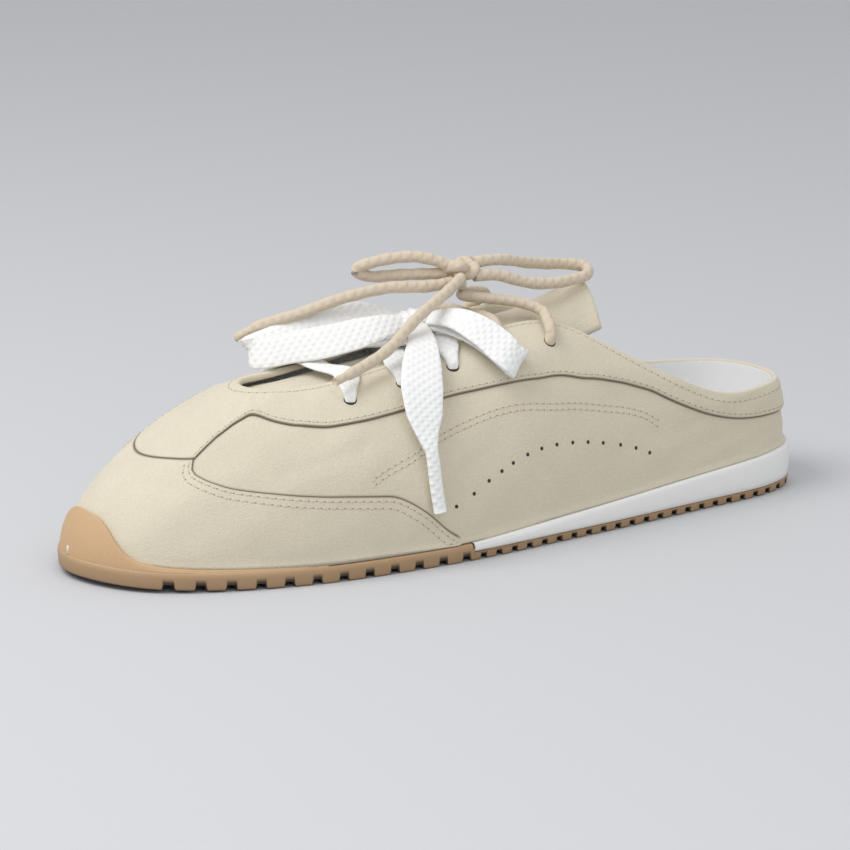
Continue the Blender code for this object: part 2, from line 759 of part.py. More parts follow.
def from_knot(knot, clearance, route, name):
    """The route with its end at the knot moved onto it, and for a loop both ends."""
    route = placed(route)
    route[0] = meet(knot, route[0], clearance)
    if "loop" in name:
        route[-1] = meet(knot, route[-1], clearance)
    return route


def smooth_route(route, spacing):
    """Points a spacing apart on a smooth curve through the route, and each point's place along it."""
    gaps = np.linalg.norm(np.diff(route, axis=0), axis=1)
    knots = np.concatenate([[0], np.cumsum(gaps)])
    at = np.linspace(0, knots[-1], max(4, int(round(knots[-1] / spacing)) + 1))
    return natural_spline(knots, route, at), knots, at


def ribbon(name, points, widths, across, material, collection):
    """A flat lace: a thin oblong section carried along the points, wide in the direction across."""
    along = np.gradient(points, axis=0)
    along /= np.linalg.norm(along, axis=1, keepdims=True)
    wide = across - along * (across * along).sum(1, keepdims=True)
    wide /= np.linalg.norm(wide, axis=1, keepdims=True)
    thick = np.cross(along, wide) * WHITE_LACE_THICKNESS / 2
    wide = wide * widths[:, None] / 2
    corners = [points + wide + thick, points - wide + thick, points - wide - thick, points + wide - thick]
    return grid_object(name, np.stack(corners, 1), material, collection)


def make_white_cords(material, collection):
    for name, (across, rows) in WHITE_ROUTES.items():
        route = from_knot(WHITE_KNOT, WHITE_KNOT_CLEARANCE, rows, name)
        points, knots, at = smooth_route(route, WHITE_LACE_WIDTH / 3)
        widths = np.interp(at, knots, [row[3] / 1000 for row in rows])
        ribbon(name, points, widths, np.tile(across, (len(points), 1)), material, collection)


def cord(name, points, material, collection):
    """A round lace: a curve with a bevel through the points."""
    curve = bpy.data.curves.new(name, "CURVE")
    curve.dimensions = "3D"
    curve.bevel_depth = BEIGE_LACE_DIAMETER / 2
    curve.bevel_resolution = 2
    curve.use_fill_caps = True
    spline = curve.splines.new("POLY")
    spline.points.add(len(points) - 1)
    spline.points.foreach_set("co", np.column_stack([points, np.ones(len(points))]).ravel())
    obj = bpy.data.objects.new(name, curve)
    collection.objects.link(obj)
    curve.materials.append(material)
    return obj


def make_beige_cords(material, collection):
    for name, rows in BEIGE_ROUTES.items():
        route = from_knot(BEIGE_KNOT, BEIGE_KNOT_CLEARANCE, rows, name)
        points, _, _ = smooth_route(route, BEIGE_LACE_DIAMETER * 1.4)
        cord(name, points, material, collection)


def make_knot(name, place, material, collection):
    (x, y, z), radii = place
    bpy.ops.mesh.primitive_uv_sphere_add(segments=14, ring_count=8, radius=1)
    knot = bpy.context.object
    knot.name = name
    knot.data.name = name
    knot.data.transform(Matrix.Diagonal([radius / 1000 for radius in radii] + [1]))
    knot.location = (x / 1000 - LENGTH / 2, y / 1000, z / 1000)
    knot.data.materials.append(material)
    smooth(knot.data)
    move_to(knot, collection)
    return knot


def move_to(obj, collection):
    for home in list(obj.users_collection):
        home.objects.unlink(obj)
    collection.objects.link(obj)


def over_throat(first, second, lift, rise):
    """Places and normals of a lace from one eyelet over the throat to another, lifted off the upper."""
    points, facing = [], []
    for turn, shares in ((first, (EYELET_SHARE, 0.88, 0.95, 1.0)), (second, (1.0, 0.95, 0.88, EYELET_SHARE))):
        for share in shares:
            point, normal, _ = surface_frame(turn, share, lift)
            points.append(point)
            facing.append(normal)
    middle = (points[3] + points[4]) / 2
    middle[2] += rise
    return np.array(points[:4] + [middle] + points[4:]), np.array(facing[:4] + [[0, 0, 1]] + facing[4:])


def flat_bar(name, first, second, sag, material, collection):
    lift = LACE_LIFT + WHITE_LACE_THICKNESS / 2
    route, facing = over_throat(first, second, lift, -sag)
    points, knots, at = smooth_route(route, 0.0035)
    normal = natural_spline(knots, facing, at)
    along = np.gradient(points, axis=0)
    across = np.cross(normal, along)
    return ribbon(name, points, np.full(len(points), WHITE_BAR_WIDTH), across, material, collection)


def make_lace_bars(white, beige, collection, cutters):
    outer, inner = eyelet_places()
    flat_bar("white_lace_bar", outer[0], inner[0], 0, white, collection)
    cross = flat_bar("white_lace_cross", outer[1], inner[2], CROSS_SAG, white, collection)
    other = flat_bar("white_lace_crossing", outer[2], inner[1], CROSS_SAG, None, cutters)
    as_cutter(other)
    boolean(cross, other, "UNION")
    lift = LACE_LIFT + BEIGE_LACE_DIAMETER / 2
    route, _ = over_throat(outer[3], inner[3], lift, 0.0010)
    cord("beige_lace_bar", smooth_route(route, 0.005)[0], beige, collection)
    route, _ = over_throat(outer[4], inner[4], lift, 0.0)
    route[4] = placed(TIE_TOP)[0]
    cord("beige_lace_tie", smooth_route(route, 0.005)[0], beige, collection)


# Materials and scene


def material(name, colour, roughness):
    made = bpy.data.materials.new(name)
    made.use_nodes = True
    shader = made.node_tree.nodes["Principled BSDF"]
    shader.inputs["Base Color"].default_value = (*colour, 1)
    shader.inputs["Roughness"].default_value = roughness
    return made


def new_collection(name):
    made = bpy.data.collections.new(name)
    bpy.context.scene.collection.children.link(made)
    return made


def main():
    for obj in list(bpy.data.objects):
        bpy.data.objects.remove(obj)
    shoe = new_collection("sneaker_mule")
    cutters = new_collection("cutters")
    suede = material("suede", (0.66, 0.57, 0.44), 0.95)
    gum = material("gum_rubber", (0.50, 0.32, 0.18), 0.6)
    foam = material("white_foam", (0.85, 0.85, 0.83), 0.6)
    fabric = material("white_fabric", (0.85, 0.85, 0.84), 0.9)
    white = material("white_cotton", (0.88, 0.88, 0.87), 0.9)
    beige = material("beige_cord", (0.62, 0.50, 0.38), 0.9)
    make_outsole(gum, shoe, cutters)
    make_midsole(foam, shoe)
    make_insole(fabric, shoe)
    make_upper(suede, shoe, cutters)
    make_tongue(suede, shoe)
    make_lace_bars(white, beige, shoe, cutters)
    make_white_cords(white, shoe)
    make_beige_cords(beige, shoe)
    make_knot("white_lace_knot", WHITE_KNOT, white, shoe)
    make_knot("beige_lace_knot", BEIGE_KNOT, beige, shoe)


if __name__ == "__main__":
    main()
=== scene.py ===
"""Looks of a sneaker mule, left shoe: sand suede, gum sole, white wedge and two laces."""

import math

import bpy
import numpy as np
from mathutils import Matrix, Vector


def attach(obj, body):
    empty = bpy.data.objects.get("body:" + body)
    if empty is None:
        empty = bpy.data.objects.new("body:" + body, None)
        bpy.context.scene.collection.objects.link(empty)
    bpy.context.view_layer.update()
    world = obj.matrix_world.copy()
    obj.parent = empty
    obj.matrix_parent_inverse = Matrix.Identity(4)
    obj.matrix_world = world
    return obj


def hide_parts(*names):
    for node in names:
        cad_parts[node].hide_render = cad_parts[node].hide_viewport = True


bl_info = {
    "name": "Sneaker mule",
    "version": (1, 0, 0),
    "blender": (4, 5, 0),
    "location": "3D View > Sidebar > Mule",
    "description": "Dresses the sneaker mule's frame with suede, gum, foam and laces",
    "category": "Object",
}

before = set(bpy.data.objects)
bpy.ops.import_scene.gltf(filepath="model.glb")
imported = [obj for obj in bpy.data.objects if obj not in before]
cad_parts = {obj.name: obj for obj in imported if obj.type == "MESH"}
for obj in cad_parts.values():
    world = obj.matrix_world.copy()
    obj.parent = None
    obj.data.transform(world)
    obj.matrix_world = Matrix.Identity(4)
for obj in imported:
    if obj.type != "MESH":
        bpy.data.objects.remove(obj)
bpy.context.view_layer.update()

# Sizes shared by the pieces, in metres

LENGTH = 0.266
BALL_WIDTH = 0.088
HEEL_RIM = 0.036
INSTEP_HEIGHT = 0.067
WALL = 0.002
CLEARANCE = 0.0003
FEATHER_INSET = 0.0010
TOE_INSET = 0.0024
GUM_FRONT = 0.0055
GUM_REAR = 0.0026
WEDGE_HEEL = 0.0150
WEDGE_FRONT = 0.148
TOE_SPRING = 0.0020
SPRING_START = 0.195
LUG_DEPTH = 0.0016
LUG_GAP_FRONT = 0.0030
LUG_GAP_REAR = 0.0022
LUG_PITCH_FRONT = 0.0088
LUG_PITCH_REAR = 0.0062
LUG_LAST = 0.252
INSOLE_THICKNESS = 0.0040
INSOLE_CLEARANCE = 0.0014
BUMPER_WALL = 0.0018
BUMPER_HEIGHT = 0.0140
TONGUE_THICKNESS = 0.0022
EYELETS = 5
EYELET_PITCH = 0.0185
EYELET_FIRST = 0.1805
EYELET_SKEW = 0.0060
EYELET_SHARE = 0.80
# Places of a lace in its eyelet: share of the rib and lift off the suede in metres
THROUGH_EYELET = ((EYELET_SHARE - 0.005, -0.003), (EYELET_SHARE, 0.0002))

# A row for each section round the shoe from the middle of the heel over the outer side. along and
# edge_along are percent of LENGTH, side, edge_side and lean percent of BALL_WIDTH, climb percent of the
# way from HEEL_RIM to INSTEP_HEIGHT, rise, reach and drop percent of the rib.
SECTION_COLUMNS = "along side edge_along edge_side climb rise lean reach drop".split()
SECTIONS = np.array(
    (
        (0.0, 2.8, 1.3, 2.8, 0, 35, 0.0, 45, 35),
        (2.1, 24.0, 3.5, 21.3, 0, 35, 0.0, 45, 35),
        (6.9, 32.2, 8.0, 28.4, -1, 35, 0.2, 45, 35),
        (15.0, 36.4, 14.7, 32.6, 2, 37, 0.5, 45, 32),
        (24.4, 39.8, 22.6, 31.2, 29, 42, 1.0, 45, 25),
        (33.8, 43.2, 31.2, 24.4, 70, 50, 1.5, 50, 16),
        (41.4, 45.5, 38.2, 17.6, 98, 55, 2.0, 56, 10),
        (48.1, 47.6, 44.6, 16.2, 98, 54, 2.0, 58, 9),
        (56.4, 49.4, 52.8, 15.2, 86, 50, 1.8, 60, 8),
        (65.8, 49.1, 61.3, 14.2, 72, 50, 1.4, 60, 9),
        (75.2, 46.6, 69.3, 12.5, 61, 50, 1.0, 60, 11),
        (82.7, 41.6, 74.6, 9.0, 59, 45, 0.3, 56, 15),
        (90.2, 33.4, 76.6, 4.8, 59, 42, 0.2, 53, 17),
        (95.5, 23.0, 77.3, 1.8, 59, 40, -0.4, 51, 20),
        (98.7, 9.0, 77.6, -1.2, 59, 38, -1.0, 50, 24),
        (100.0, -6.5, 77.6, -3.6, 59, 38, -1.2, 50, 26),
        (98.6, -20.5, 77.4, -6.0, 59, 39, -1.0, 50, 24),
        (94.6, -34.0, 76.6, -8.8, 60, 42, -0.3, 52, 19),
        (87.8, -44.2, 74.6, -11.2, 61, 46, 0.3, 55, 15),
        (78.9, -49.8, 69.8, -12.4, 63, 46, 0.6, 56, 15),
        (69.5, -47.2, 61.8, -12.8, 72, 50, 1.0, 60, 11),
        (60.2, -38.1, 53.2, -13.2, 84, 54, 1.2, 62, 9),
        (50.8, -29.5, 44.8, -13.8, 97, 58, 1.5, 62, 9),
        (41.4, -26.8, 38.2, -14.8, 98, 58, 2.0, 60, 10),
        (32.0, -28.4, 31.2, -20.6, 70, 50, 1.5, 50, 16),
        (22.6, -31.4, 22.6, -26.4, 29, 42, 1.0, 45, 25),
        (13.2, -31.6, 14.2, -27.8, 2, 37, 0.5, 45, 32),
        (6.8, -26.7, 7.6, -23.8, -1, 35, 0.2, 45, 35),
        (2.3, -16.5, 3.3, -15.0, 0, 35, 0.0, 45, 35),
    )
)

# The inset side panel: its lower and upper edge in percent of the rib, against the foot of the rib in
# percent of LENGTH.
PANEL = (
    np.array(
        (
            (0.0, 0.0, 52.0),
            (7.7, 0.0, 60.0),
            (15.8, 0.0, 70.0),
            (20.8, 0.0, 74.0),
            (27.3, 0.0, 77.5),
            (31.8, 0.0, 72.0),
            (38.0, 0.0, 61.0),
            (44.3, 0.0, 58.5),
            (50.4, 0.0, 61.5),
            (56.1, 0.5, 64.5),
            (58.6, 5.0, 65.0),
            (61.3, 13.5, 65.0),
            (63.8, 20.0, 65.0),
            (66.0, 24.5, 65.0),
            (69.3, 26.5, 65.2),
            (74.7, 30.0, 67.5),
            (78.3, 33.0, 71.7),
            (83.0, 37.5, 78.5),
            (85.4, 39.5, 81.5),
            (87.7, 41.5, 82.5),
            (90.7, 45.5, 76.5),
            (92.7, 49.0, 69.0),
            (93.6, 52.0, 62.5),
            (94.2, 57.2, 57.2),
        )
    )
    / 100
)
PANEL_LEAST = 0.02
# Distances of the rows on both sides of a panel's edge, in millimetres, and how far the upper's foot
# swells over the gum, in metres.
EDGE_ROWS = np.array((0.08, 0.2, 0.4, 0.8, 1.4))
FOOT_SWELL = 0.0007

# Tongue rows: along in percent of LENGTH, crown and droop of INSTEP_HEIGHT, half width of BALL_WIDTH.
TONGUE = (
    np.array(
        (
            (80.5, 69.0, 5.0, 9.0),
            (77.0, 75.5, 4.6, 13.0),
            (72.2, 78.8, 6.0, 18.0),
            (67.7, 80.6, 7.6, 20.0),
            (60.2, 85.8, 8.8, 20.4),
            (53.8, 90.3, 10.0, 20.6),
            (47.0, 95.9, 12.4, 20.4),
            (40.6, 100.3, 15.8, 19.2),
            (36.6, 104.3, 18.6, 17.0),
            (33.4, 109.0, 20.5, 15.8),
            (30.4, 114.0, 21.5, 16.4),
        )
    )
    / 100
)
TONGUE_AXIS = np.array(((80.5, -4.0), (60.0, 1.6), (30.4, 2.6))) / 100

# Gum over the toe: along in percent of LENGTH, height in percent of BUMPER_HEIGHT.
BUMPER = (
    np.array(
        (
            (74.0, 0.0),
            (90.0, 0.0),
            (93.5, 2.0),
            (95.6, 8.0),
            (96.8, 19.0),
            (97.7, 40.0),
            (98.6, 66.0),
            (99.4, 82.0),
            (100.0, 86.0),
        )
    )
    / 100
)

# Stitched arc on each side: foot of the rib in percent of LENGTH and place up the rib in percent.
STITCH_ARC = (
    np.array(
        (
            (69.3, 31.7),
            (67.0, 36.0),
            (63.5, 40.0),
            (61.3, 43.5),
            (59.2, 46.0),
            (55.6, 48.3),
            (50.4, 48.6),
            (46.0, 45.8),
            (42.2, 43.6),
            (38.0, 45.4),
            (34.4, 48.6),
            (31.0, 52.4),
            (28.3, 53.2),
            (26.3, 50.0),
        )
    )
    / 100
)
# Punched holes on each side, measured the same way.
HOLES = (
    np.array(
        (
            (57.6, 15.0),
            (55.1, 18.3),
            (52.9, 21.4),
            (51.0, 23.4),
            (49.3, 25.0),
            (47.1, 26.3),
            (44.9, 26.9),
            (42.5, 27.1),
            (40.0, 27.4),
            (37.6, 28.0),
            (35.2, 28.6),
            (32.4, 29.0),
            (29.9, 28.2),
            (27.7, 25.6),
        )
    )
    / 100
)
# Distances of the stitch rows from the panel's edge and from the arc, in metres
STITCH_ROWS = (0.0013, 0.0033)
ARC_ROWS = (0.0009, -0.0011)
# Soft creases: foot of the rib (percent of LENGTH) and place up the rib (percent) at both ends, width in
# millimetres across, depth in millimetres (negative stands proud), side 1 outer, -1 inner, 0 both.
CREASES = (
    (88.5, 93.0, 79.5, 74.0, 5.0, 0.45, 0),
    (84.0, 96.0, 76.0, 84.0, 4.0, -0.35, 0),
    (70.0, 52.0, 80.0, 46.0, 7.0, 0.35, 0),
    (66.0, 38.0, 74.0, 20.0, 8.0, 0.30, 0),
    (56.0, 30.0, 60.0, 8.0, 7.0, 0.35, 1),
    (48.0, 12.0, 40.0, 30.0, 9.0, 0.30, -1),
    (33.0, 66.0, 26.0, 40.0, 8.0, 0.30, 0),
    (20.0, 50.0, 15.0, 20.0, 9.0, 0.30, 0),
    (12.0, 80.0, 6.0, 66.0, 5.0, 0.25, 0),
    (95.0, 42.0, 96.0, 70.0, 9.0, 0.30, 0),
)


CAMERA_PLACE = (0.6188, 0.9512, 0.3309)
CAMERA_AIM = (-0.5240, -0.8128, -0.2545)
CAMERA_UP = (-0.1025, -0.1812, 0.9781)


# Curves and the upper's form


def column(name):
    return SECTIONS[:, SECTION_COLUMNS.index(name)] / 100


def loop_spline(knots, values, at):
    """A closed cubic spline through values at knots: cubics whose second slopes meet at each knot."""
    count = len(values)
    gap = np.diff(knots)
    slope = (np.roll(values, -1, 0) - values) / gap[:, None]
    matrix = np.zeros((count, count))
    for i in range(count):
        matrix[i, i - 1] = gap[i - 1]
        matrix[i, i] = 2 * (gap[i - 1] + gap[i])
        matrix[i, (i + 1) % count] = gap[i]
    bend = np.linalg.solve(matrix, 6 * (slope - np.roll(slope, 1, 0)))
    at = np.mod(at, knots[-1])
    k = np.clip(np.searchsorted(knots, at, side="right") - 1, 0, count - 1)
    step = gap[k][..., None]
    far = (at - knots[k])[..., None] / step
    near = 1 - far
    after = (k + 1) % count
    curve = near * values[k] + far * values[after]
    return curve + step**2 / 6 * ((near**3 - near) * bend[k] + (far**3 - far) * bend[after])


def open_spline(knots, values, at):
    """An open cubic spline through values at knots, straight at both ends."""
    values = np.asarray(values, float)
    count = len(knots)
    gap = np.diff(knots)
    wide = (-1,) + (1,) * (values.ndim - 1)
    slope = np.diff(values, axis=0) / gap.reshape(wide)
    matrix = np.eye(count)
    right = np.zeros_like(values)
    for i in range(1, count - 1):
        matrix[i, i - 1] = gap[i - 1]
        matrix[i, i] = 2 * (gap[i - 1] + gap[i])
        matrix[i, i + 1] = gap[i]
        right[i] = 6 * (slope[i] - slope[i - 1])
    bend = np.linalg.solve(matrix, right)
    k = np.clip(np.searchsorted(knots, at, side="right") - 1, 0, count - 2)
    step = gap[k].reshape(wide)
    far = ((at - knots[k]) / gap[k]).reshape(wide)
    near = 1 - far
    curve = near * values[k] + far * values[k + 1]
    return curve + step**2 / 6 * ((near**3 - near) * bend[k] + (far**3 - far) * bend[k + 1])


FOOT = np.stack([column("along") * LENGTH - LENGTH / 2, column("side") * BALL_WIDTH], 1)
FOOT_STEPS = np.linalg.norm(np.roll(FOOT, -1, 0) - FOOT, axis=1)
PERIMETER = FOOT_STEPS.sum()
TURN_KNOTS = np.concatenate([[0], np.cumsum(FOOT_STEPS)]) / PERIMETER


def outline(turn, inset=0.0):
    """The sole's edge in plan at each turn, moved inwards by inset across the edge's direction."""
    along = loop_spline(TURN_KNOTS, FOOT, turn + 0.001) - loop_spline(TURN_KNOTS, FOOT, turn - 0.001)
    along /= np.linalg.norm(along, axis=-1, keepdims=True)
    inwards = np.stack([along[..., 1], -along[..., 0]], -1)
    return loop_spline(TURN_KNOTS, FOOT, turn) + inwards * np.asarray(inset)[..., None]


def from_heel(x):
    return x + LENGTH / 2


def smooth_step(value, start, end):
    share = np.clip((value - start) / (end - start), 0, 1)
    return share * share * (3 - 2 * share)


def spring(x):
    """Height of the sole's underside: flat, then a parabola up to the toe."""
    share = np.clip((from_heel(x) - SPRING_START) / (LENGTH - SPRING_START), 0, 1)
    return TOE_SPRING * share**2


def sole_top(x):
    """Top of the sole: gum in front, a straight wedge rising to the heel behind."""
    share = np.clip(1 - from_heel(x) / WEDGE_FRONT, 0, 1)
    return GUM_FRONT + spring(x) + (WEDGE_HEEL - GUM_FRONT) * share


def feather_inset(x):
    share = smooth_step(from_heel(x), SPRING_START, LENGTH)
    return FEATHER_INSET + (TOE_INSET - FEATHER_INSET) * share


def upper_surface(turn, share):
    """The upper's outer face: at each turn a cubic curve from the sole's edge to the opening's edge."""
    names = ["edge_along", "edge_side", "climb", "rise", "lean", "reach", "drop"]
    values = loop_spline(TURN_KNOTS, np.stack([column(name) for name in names], 1), turn)
    edge_along, edge_side, climb, rise, lean, reach, drop = values.T
    foot = outline(turn, feather_inset(outline(turn)[:, 0]))
    low = sole_top(foot[:, 0]) + CLEARANCE
    top = HEEL_RIM + climb * (INSTEP_HEIGHT - HEEL_RIM)
    height = top - low
    start = np.column_stack([foot, low])
    end = np.column_stack([edge_along * LENGTH - LENGTH / 2, edge_side * BALL_WIDTH, top])
    out = outline(turn) - outline(turn, 0.001)
    out /= np.linalg.norm(out, axis=1, keepdims=True)
    wall = np.column_stack([foot + out * (lean * BALL_WIDTH)[:, None], low + rise * height])
    shoulder = end.copy()
    shoulder[:, :2] += (foot - end[:, :2]) * reach[:, None]
    shoulder[:, 2] -= drop * height
    start, wall, shoulder, end = (p[:, None, :] for p in (start, wall, shoulder, end))
    t = share[..., None] if np.ndim(share) == 2 else np.asarray(share)[None, :, None]
    return (1 - t) ** 3 * start + 3 * (1 - t) ** 2 * t * wall + 3 * (1 - t) * t**2 * shoulder + t**3 * end


def face_frame(turn, share):
    """Points, outward normals and directions up the rib, from small steps in turn and share."""
    step = 0.0008
    point = upper_surface(turn, share)
    around = upper_surface(turn + step, share) - upper_surface(turn - step, share)
    up = upper_surface(turn, share + 0.002) - upper_surface(turn, share - 0.002)
    normal = np.cross(up, around)
    normal /= np.linalg.norm(normal, axis=-1, keepdims=True)
    return point, normal, up / np.linalg.norm(up, axis=-1, keepdims=True)


def spot(turn, share, lift=0.0):
    """One place on the upper's outer face, lifted along its normal, with normal and direction up."""
    point, normal, up = face_frame(np.array([turn]), np.array([[share]]))
    return point[0, 0] + normal[0, 0] * lift, normal[0, 0], up[0, 0]


FINE = np.linspace(0, 1, 4001)
FINE_ALONG = from_heel(outline(FINE)[:, 0]) / LENGTH
TOE_TURN = FINE[np.argmax(FINE_ALONG)]


def turn_at(along, side):
    """The turn whose foot lies at a share of the length, on the outer (1) or inner (-1) side."""
    part = FINE <= TOE_TURN if side > 0 else FINE >= TOE_TURN
    order = np.argsort(FINE_ALONG[part])
    return np.interp(along, FINE_ALONG[part][order], FINE[part][order])


def rib_length(turn):
    points = upper_surface(turn, np.linspace(0, 1, 25))
    return np.linalg.norm(np.diff(points, axis=1), axis=2).sum(1)


def panel_edges(turn):
    """Lower and upper edge of the side panel as shares of each rib, from the table by a soft mean."""
    along = from_heel(outline(turn)[:, 0]) / LENGTH
    low, high = np.zeros_like(along), np.zeros_like(along)
    spread = 0.006 * np.clip((0.93 - along) / 0.06, 0, 1)
    for shift in (-1.4, -0.7, 0, 0.7, 1.4):
        low += np.interp(along + shift * spread, PANEL[:, 0], PANEL[:, 1]) / 5
        high += np.interp(along + shift * spread, PANEL[:, 0], PANEL[:, 2]) / 5
    return low, high


# Meshes


def lay_mesh(name, points, quads, material, caps=()):
    """A mesh from arrays of points and four-sided faces, smooth shaded."""
    mesh = bpy.data.meshes.new(name)
    points = np.asarray(points, np.float32)
    quads = np.asarray(quads, np.int32).reshape(-1, 4)
    loops = [quads.ravel()] + [np.asarray(cap, np.int32) for cap in caps]
    sizes = np.concatenate([np.full(len(quads), 4), [len(cap) for cap in caps]]).astype(np.int32)
    mesh.vertices.add(len(points))
    mesh.vertices.foreach_set("co", points.ravel())
    mesh.loops.add(int(sizes.sum()))
    mesh.loops.foreach_set("vertex_index", np.concatenate(loops).astype(np.int32))
    mesh.polygons.add(len(sizes))
    mesh.polygons.foreach_set("loop_start", (np.cumsum(sizes) - sizes).astype(np.int32))
    mesh.update(calc_edges=True)
    mesh.validate()
    mesh.shade_smooth()
    mesh.materials.append(material)
    made = bpy.data.objects.new(name, mesh)
    bpy.context.scene.collection.objects.link(made)
    return made


def grid_quads(rows, columns, close_rows=False, close_columns=False, flip=False):
    """Vertex numbers of the faces of a grid, closed on itself where asked."""
    i = np.arange(rows if close_rows else rows - 1)[:, None]
    j = np.arange(columns if close_columns else columns - 1)[None, :]
    down, over = (i + 1) % rows, (j + 1) % columns
    quads = np.stack([i * columns + j, down * columns + j, down * columns + over, i * columns + over], -1)
    quads = quads.reshape(-1, 4)
    return quads[:, ::-1] if flip else quads


def finish_piece(made, slot, *nodes):
    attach(made, "root")
    if nodes:
        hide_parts(*nodes)
    return made


def add_value(made, name, values):
    """A number for each point, for the material to read."""
    attribute = made.data.attributes.new(name, "FLOAT", "POINT")
    attribute.data.foreach_set("value", np.asarray(values, np.float32).ravel())


def add_uv(made, uv):
    """UV coordinates from one pair for each point."""
    layer = made.data.uv_layers.new(name="UVMap")
    index = np.empty(len(made.data.loops), np.int32)
    made.data.loops.foreach_get("vertex_index", index)
    layer.data.foreach_set("uv", np.asarray(uv, np.float32)[index].ravel())


def tube(name, path, wide, thick, across, material, square=2.0, sides=16):
    """A rounded section carried along a path: at each point a superellipse, wide along across."""
    along = np.gradient(path, axis=0)
    along /= np.linalg.norm(along, axis=1, keepdims=True)
    side = across - along * (across * along).sum(1, keepdims=True)
    side /= np.linalg.norm(side, axis=1, keepdims=True)
    up = np.cross(along, side)
    angle = np.arange(sides) / sides * 2 * math.pi
    c = np.sign(np.cos(angle)) * np.abs(np.cos(angle)) ** (2 / square)
    s = np.sign(np.sin(angle)) * np.abs(np.sin(angle)) ** (2 / square)
    wide, thick = np.broadcast_to(wide, len(path)), np.broadcast_to(thick, len(path))
    ring = path[:, None] + side[:, None] * (c[None] * wide[:, None] / 2)[..., None]
    ring = ring + up[:, None] * (s[None] * thick[:, None] / 2)[..., None]
    count = len(path)
    quads = grid_quads(count, sides, close_columns=True, flip=True)
    caps = [np.arange(sides), (count - 1) * sides + np.arange(sides)[::-1]]
    made = lay_mesh(name, ring.reshape(-1, 3), quads, material, caps)
    far = np.concatenate([[0], np.cumsum(np.linalg.norm(np.diff(path, axis=0), axis=1))])
    add_uv(made, np.stack(np.broadcast_arrays(far[:, None], c[None] * wide[:, None] / 2), -1).reshape(-1, 2))
    return made


# Materials


def new_material(name, colour, roughness):
    made = bpy.data.materials.new(name)
    made.use_nodes = True
    shader = made.node_tree.nodes["Principled BSDF"]
    shader.inputs["Base Color"].default_value = (*colour, 1)
    shader.inputs["Roughness"].default_value = roughness
    return made, made.node_tree, shader


def node(tree, kind, **settings):
    made = tree.nodes.new(kind)
    for key, value in settings.items():
        if key in made.inputs:
            made.inputs[key].default_value = value
        else:
            setattr(made, key, value)
    return made


def link(tree, source, target):
    tree.links.new(source, target)


def make_grain_group():
    """Group: two sizes of noise on object coordinates give a colour shade and a height."""
    tree = bpy.data.node_groups.new("surface grain", "ShaderNodeTree")
    for label, kind, default in (
        ("Coarse", "NodeSocketFloat", 90.0),
        ("Fine", "NodeSocketFloat", 1800.0),
        ("Mottle", "NodeSocketFloat", 0.06),
    ):
        socket = tree.interface.new_socket(label, in_out="INPUT", socket_type=kind)
        socket.default_value = default
    tree.interface.new_socket("Shade", in_out="OUTPUT", socket_type="NodeSocketFloat")
    tree.interface.new_socket("Height", in_out="OUTPUT", socket_type="NodeSocketFloat")
    inside, outside = tree.nodes.new("NodeGroupInput"), tree.nodes.new("NodeGroupOutput")
    place = tree.nodes.new("ShaderNodeTexCoord")
    coarse = node(tree, "ShaderNodeTexNoise", Detail=4.0, Roughness=0.6)
    fine = node(tree, "ShaderNodeTexNoise", Detail=3.0, Roughness=0.65)
    for noise, label in ((coarse, "Coarse"), (fine, "Fine")):
        link(tree, place.outputs["Object"], noise.inputs["Vector"])
        link(tree, inside.outputs[label], noise.inputs["Scale"])
    both = node(tree, "ShaderNodeMath", operation="MULTIPLY_ADD")
    both.inputs[1].default_value = 1.4
    link(tree, fine.outputs["Fac"], both.inputs[0])
    link(tree, coarse.outputs["Fac"], both.inputs[2])
    centred = node(tree, "ShaderNodeMath", operation="SUBTRACT")
    centred.inputs[1].default_value = 1.2
    link(tree, both.outputs[0], centred.inputs[0])
    shade = node(tree, "ShaderNodeMath", operation="MULTIPLY_ADD")
    shade.inputs[2].default_value = 1.0
    link(tree, centred.outputs[0], shade.inputs[0])
    link(tree, inside.outputs["Mottle"], shade.inputs[1])
    link(tree, shade.outputs[0], outside.inputs["Shade"])
    link(tree, fine.outputs["Fac"], outside.inputs["Height"])
    return tree


def shaded(tree, colour, shade):
    """The colour times a shade value."""
    mix = node(tree, "ShaderNodeMix", data_type="RGBA", blend_type="MULTIPLY")
    mix.inputs["Factor"].default_value = 1
    mix.inputs[6].default_value = (*colour, 1)
    link(tree, shade, mix.inputs[7])
    return mix.outputs[2]


def make_surface(name, colour, roughness, grain, coarse, fine, mottle, bump, depth, sheen=0.0):
    """A matt material: grain from the group shades the colour and lifts the surface."""
    made, tree, shader = new_material(name, colour, roughness)
    group = node(tree, "ShaderNodeGroup", node_tree=grain)
    group.inputs["Coarse"].default_value = coarse
    group.inputs["Fine"].default_value = fine
    group.inputs["Mottle"].default_value = mottle
    out = shaded(tree, colour, group.outputs["Shade"])
    link(tree, out, shader.inputs["Base Color"])
    lift = node(tree, "ShaderNodeBump", Strength=bump, Distance=depth)
    link(tree, group.outputs["Height"], lift.inputs["Height"])
    link(tree, lift.outputs["Normal"], shader.inputs["Normal"])
    if sheen:
        shader.inputs["Sheen Weight"].default_value = sheen
        shader.inputs["Sheen Roughness"].default_value = 0.5
    return made, tree, shader, out, lift


def make_suede(settings, grain):
    """Suede: napped grain, mixed towards a dark colour by the piece's attribute of painted shade: painted
    shade in the crevices along the side panel's edges and where the upper meets the sole.
    """
    colour = settings.suede[:3]
    made, tree, shader, out, _ = make_surface(
        "sand suede", colour, 0.95, grain, 60.0, 1500.0, 0.16, 0.5, 0.0006, 0.25
    )
    # Painted shade: the dark colour the suede is mixed towards in its crevices.
    darken(tree, shader, out, (0.15, 0.115, 0.075, 1))
    shader.inputs["Specular IOR Level"].default_value = 0.2
    return made


